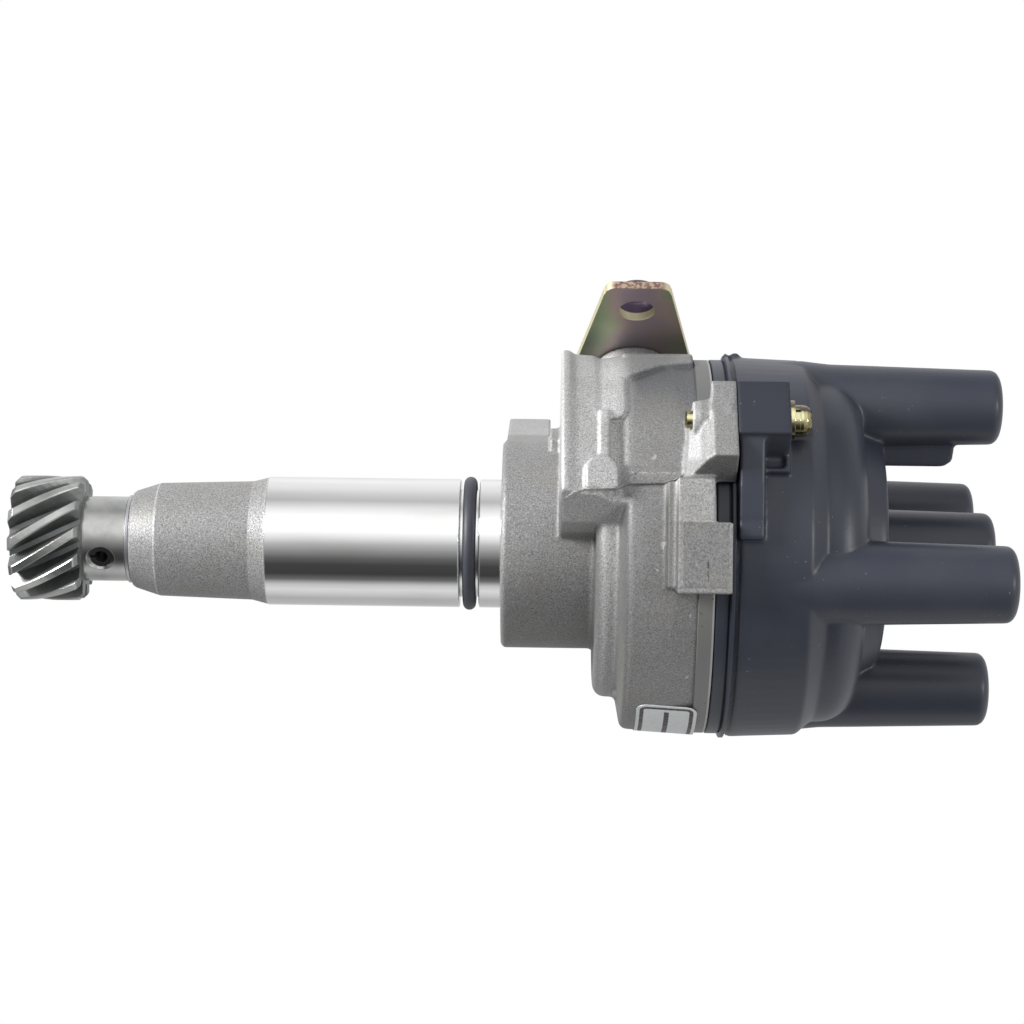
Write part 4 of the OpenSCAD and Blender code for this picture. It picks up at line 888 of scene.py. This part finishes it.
def parting_ridge(casting):
    """Flash left as a low rounded ridge on the casting, along the lower edge of the parting line."""
    places = []
    for x, z in along_path(RIDGE, RIDGE_STEP):
        struck, place, normal, _ = casting.ray_cast(Vector((x, IN_FRONT, z)) * MM, Vector((0, 1, 0)))
        if struck:
            places.append((place, normal))
    work = bmesh.new()
    rings = []
    last = len(places) - 1
    turns = [2 * math.pi * k / RIDGE_SIDES for k in range(RIDGE_SIDES)]
    for i, (place, normal) in enumerate(places):
        ahead = (places[min(i + 1, last)][0] - places[max(i - 1, 0)][0]).normalized()
        size = RIDGE_TIP if i in (0, last) else 1.0
        across = ahead.cross(normal).normalized() * RIDGE_HALF_W * size * MM
        rise = normal * RIDGE_HEIGHT * size * MM
        rings.append([work.verts.new(place + across * math.cos(a) + rise * math.sin(a)) for a in turns])
    for low, high in zip(rings, rings[1:]):
        for k in range(RIDGE_SIDES):
            beside = (k + 1) % RIDGE_SIDES
            work.faces.new((low[k], low[beside], high[beside], high[k]))
    work.faces.new(rings[0])
    work.faces.new(rings[-1])
    bmesh.ops.recalc_face_normals(work, faces=work.faces)
    new_piece("parting_ridge", work, "cast_aluminium")


# Cap


def rib_web(work, clock):
    """A web that runs from a lug's corner down to the rib."""
    add_hull(work, [at_clock(clock, out, side, height) for height in LUG_WEB_Z for out, side in LUG_WEB])


def mould_nub(work, middle, half):
    """A small rounded lump."""
    turns = [math.pi * i / 4 for i in range(8)]
    tilts = [math.pi * j / 6 for j in range(1, 6)]
    points = []
    for a in turns:
        for b in tilts:
            way = (math.cos(a) * math.sin(b), math.sin(a) * math.sin(b), math.cos(b))
            points.append(Vector([m + h * w for m, h, w in zip(middle, half, way)]) * MM)
    add_hull(work, points)


def cap_moulding():
    """The cap with its towers, lugs, ribs and webs, above the crisp foot."""
    work = node_copy("cap")
    sink_ring(work, CAP_SINK_R, (RIM[1] - 0.1, CAP_WALL_Z + 0.05), CAP_SINK)
    for clock in CAP_SCREW_CLOCKS:
        rib_web(work, clock)
    for middle, half in CAP_NUBS:
        mould_nub(work, middle, half)
    moulding = new_piece("cap_moulding", work, "cap_plastic")
    soften(moulding, rounds=5)
    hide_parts("cap")


def cap_foot():
    """The foot of the cap and the bead above it."""
    section = [
        (RIM_R - 0.3, RIM[1] + 0.15),
        (RIM_R + 0.08, RIM[1] + 0.4),
        (RIM_R + 0.08, BEAD[0] - 0.1),
        (RIM_R - 0.45, BEAD[0]),
        (RIM_R - 0.45, BEAD[0] + 0.2),
        (BEAD_R, BEAD[0] + 0.55),
        (BEAD_R, BEAD[1] - 0.45),
        (RIM_R + 0.1, BEAD[1] - 0.2),
        (RIM_R + 0.1, CAP_WALL_Z),
        (BEAD_R - 0.5, CAP_WALL_Z + 0.15),
        (BEAD_R - CAP_FOOT_WALL, CAP_WALL_Z + 0.3),
        (BEAD_R - CAP_FOOT_WALL, RIM[1] + 0.15),
    ]
    turned("cap_foot", section, "cap_plastic")


def brush_spring_coil():
    """The brush's spring, as a piece with a mesh of its own."""
    coil = new_piece("brush_spring_coil", node_copy("brush_spring"), "stamped_steel")
    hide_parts("brush_spring")
    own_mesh(coil)


def label_layer(work, rise):
    """Rows of vertices over the label's outline, at a rise above the bowl."""
    columns, rows = LABEL_STEPS
    layer = []
    for j in range(rows + 1):
        offset = -math.cos(math.pi * j / rows) * LABEL_HALF_H
        height = LABEL_Z + offset
        over = max(0.0, abs(offset) - LABEL_HALF_H + LABEL_CORNER)
        half = LABEL_HALF_W - LABEL_CORNER + math.sqrt(max(0.0, LABEL_CORNER**2 - over**2))
        reach = bowl_radius(height) + rise
        turns = [math.pi + LABEL_ANGLE + half * (2 * i / columns - 1) / reach for i in range(columns + 1)]
        row = [(reach * math.cos(a) * MM, reach * math.sin(a) * MM, height * MM) for a in turns]
        layer.append([work.verts.new(place) for place in row])
    return layer


def label_plate():
    """The plain label plate, bent round the bowl."""
    columns, rows = LABEL_STEPS
    work = bmesh.new()
    low, high = (label_layer(work, rise) for rise in LABEL_RISE)
    for layer in (low, high):
        for j in range(rows):
            for i in range(columns):
                work.faces.new((layer[j][i], layer[j][i + 1], layer[j + 1][i + 1], layer[j + 1][i]))
    rim = [(0, i) for i in range(columns)] + [(j, columns) for j in range(rows)]
    rim += [(rows, i) for i in range(columns, 0, -1)] + [(j, 0) for j in range(rows, 0, -1)]
    for (j0, i0), (j1, i1) in zip(rim, rim[1:] + rim[:1]):
        work.faces.new((low[j0][i0], low[j1][i1], high[j1][i1], high[j0][i0]))
    bmesh.ops.recalc_face_normals(work, faces=work.faces)
    plate = new_piece("label_plate", work, "label_foil")
    plate.data.set_sharp_from_angle(angle=math.radians(40))


casting = housing_casting()
housing_shank()
bracket_collar_edge()
parting_ridge(casting)
housing_rim()
cap_moulding()
cap_foot()
brush_spring_coil()
label_plate()

# Camera at the photograph's viewing angle: it looks along +Y with -X up
CAMERA_PLACE = Vector((-1.0, -630.0, 9.8)) * MM
AIM = Vector((-7.4, 0.0, 2.2)) * MM
ROLL = math.radians(0.75)
LENS = 95.1

back = (CAMERA_PLACE - AIM).normalized()
up_hint = Vector((-math.cos(ROLL), 0.0, -math.sin(ROLL)))
right = up_hint.cross(back).normalized()
up = back.cross(right)
camera = bpy.data.objects.new("camera", bpy.data.cameras.new("camera"))
camera.data.lens = LENS
camera.data.sensor_width = 36.0
camera.data.clip_start = 0.01
camera.data.clip_end = 50.0
camera.matrix_world = Matrix.Translation(CAMERA_PLACE) @ Matrix((right, up, back)).transposed().to_4x4()
bpy.context.scene.collection.objects.link(camera)
bpy.context.scene.camera = camera

# Pale floor under the gear, which only the camera sees
FLOOR_GAP = 1.0
FLOOR_SIZE = 6000.0

bpy.ops.mesh.primitive_plane_add(size=FLOOR_SIZE * MM, location=(0, 0, cad_box[LOW].z - FLOOR_GAP * MM))
floor = bpy.context.object
floor.name = "floor"
floor_finish = Finish("floor_white")
glow = floor_finish.node("ShaderNodeEmission", None, {"Color": colour_of(1.0), "Strength": 1.0})
floor.data.materials.append(floor_finish.end_with(glow))
for ray in ("diffuse", "glossy", "transmission", "volume_scatter", "shadow"):
    setattr(floor, f"visible_{ray}", False)

# Studio: white behind, a soft light above the camera and a dark band below it

# Brightness by the angle up from the camera's side, in degrees
LIGHT_BY_ANGLE = (
    (-180, 0.75), (-150, 0.50), (-123, 0.46), (-96, 0.76), (-84, 0.60),
    (-72, 0.15), (-60, 0.05), (-42, 0.06), (-30, 0.13), (-17, 0.30),
    (-5, 0.50), (6, 0.84), (18, 1.15), (46, 1.15), (62, 0.90),
    (79, 0.55), (92, 0.66), (110, 0.85), (140, 1.0), (180, 0.75),
)
END_LIGHT = (0.42, 0.58)
CAP_END_LIGHT = 0.25

world = bpy.data.worlds.new("studio")
bpy.context.scene.world = world
studio = Finish("studio", world)
wx, wy, wz = studio.parts(studio.node("ShaderNodeTexCoord", None, None, "Generated"))
turn = studio.node("ShaderNodeMath", {"operation": "ARCTAN2"}, {0: 0 - wx, 1: 0 - wy}) / (2 * math.pi) + 0.5
stops = [(angle / 360 + 0.5, (light, light, light * 1.01)) for angle, light in LIGHT_BY_ANGLE]
glow = studio.node("ShaderNodeValToRGB", {"stops": stops}, {"Fac": turn})
# Past the gear and past the cap the light is more even, and brighter on the cap's side
ends = studio.grey(wz.step(-0.75, 0.6, *END_LIGHT) + wz.step(0.3, 0.8, 0.0, CAP_END_LIGHT))
glow = studio.mix(wz.size().step(0.24, 0.5), glow, ends)
seen = studio.node("ShaderNodeLightPath", None, None, "Is Camera Ray")
sky = studio.node("ShaderNodeBackground", None, {"Color": studio.mix(seen, glow, 1.0), "Strength": 1.0})
studio.end_with(sky, "ShaderNodeOutputWorld")
bpy.context.scene.view_settings.view_transform = "Standard"


def soft_light(name, place, aim, size, power):
    """A round soft lamp, in metres and watts, which the camera doesn't see."""
    lamp = bpy.data.lights.new(name, "AREA")
    lamp.shape = "DISK"
    lamp.size = size
    lamp.energy = power
    made = bpy.data.objects.new(name, lamp)
    made.location = place
    made.rotation_euler = (Vector(aim) - Vector(place)).to_track_quat("-Z", "Y").to_euler()
    made.visible_camera = False
    bpy.context.scene.collection.objects.link(made)


# A large lamp above and past the gear, and a small weak one in front of the cap
soft_light("key_light", (-0.55, -0.60, -1.25), (0, 0, 0.02), 0.6, 32.0)
soft_light("cap_light", (-0.10, -0.95, 1.15), (0, 0, 0.08), 0.22, 4.5)
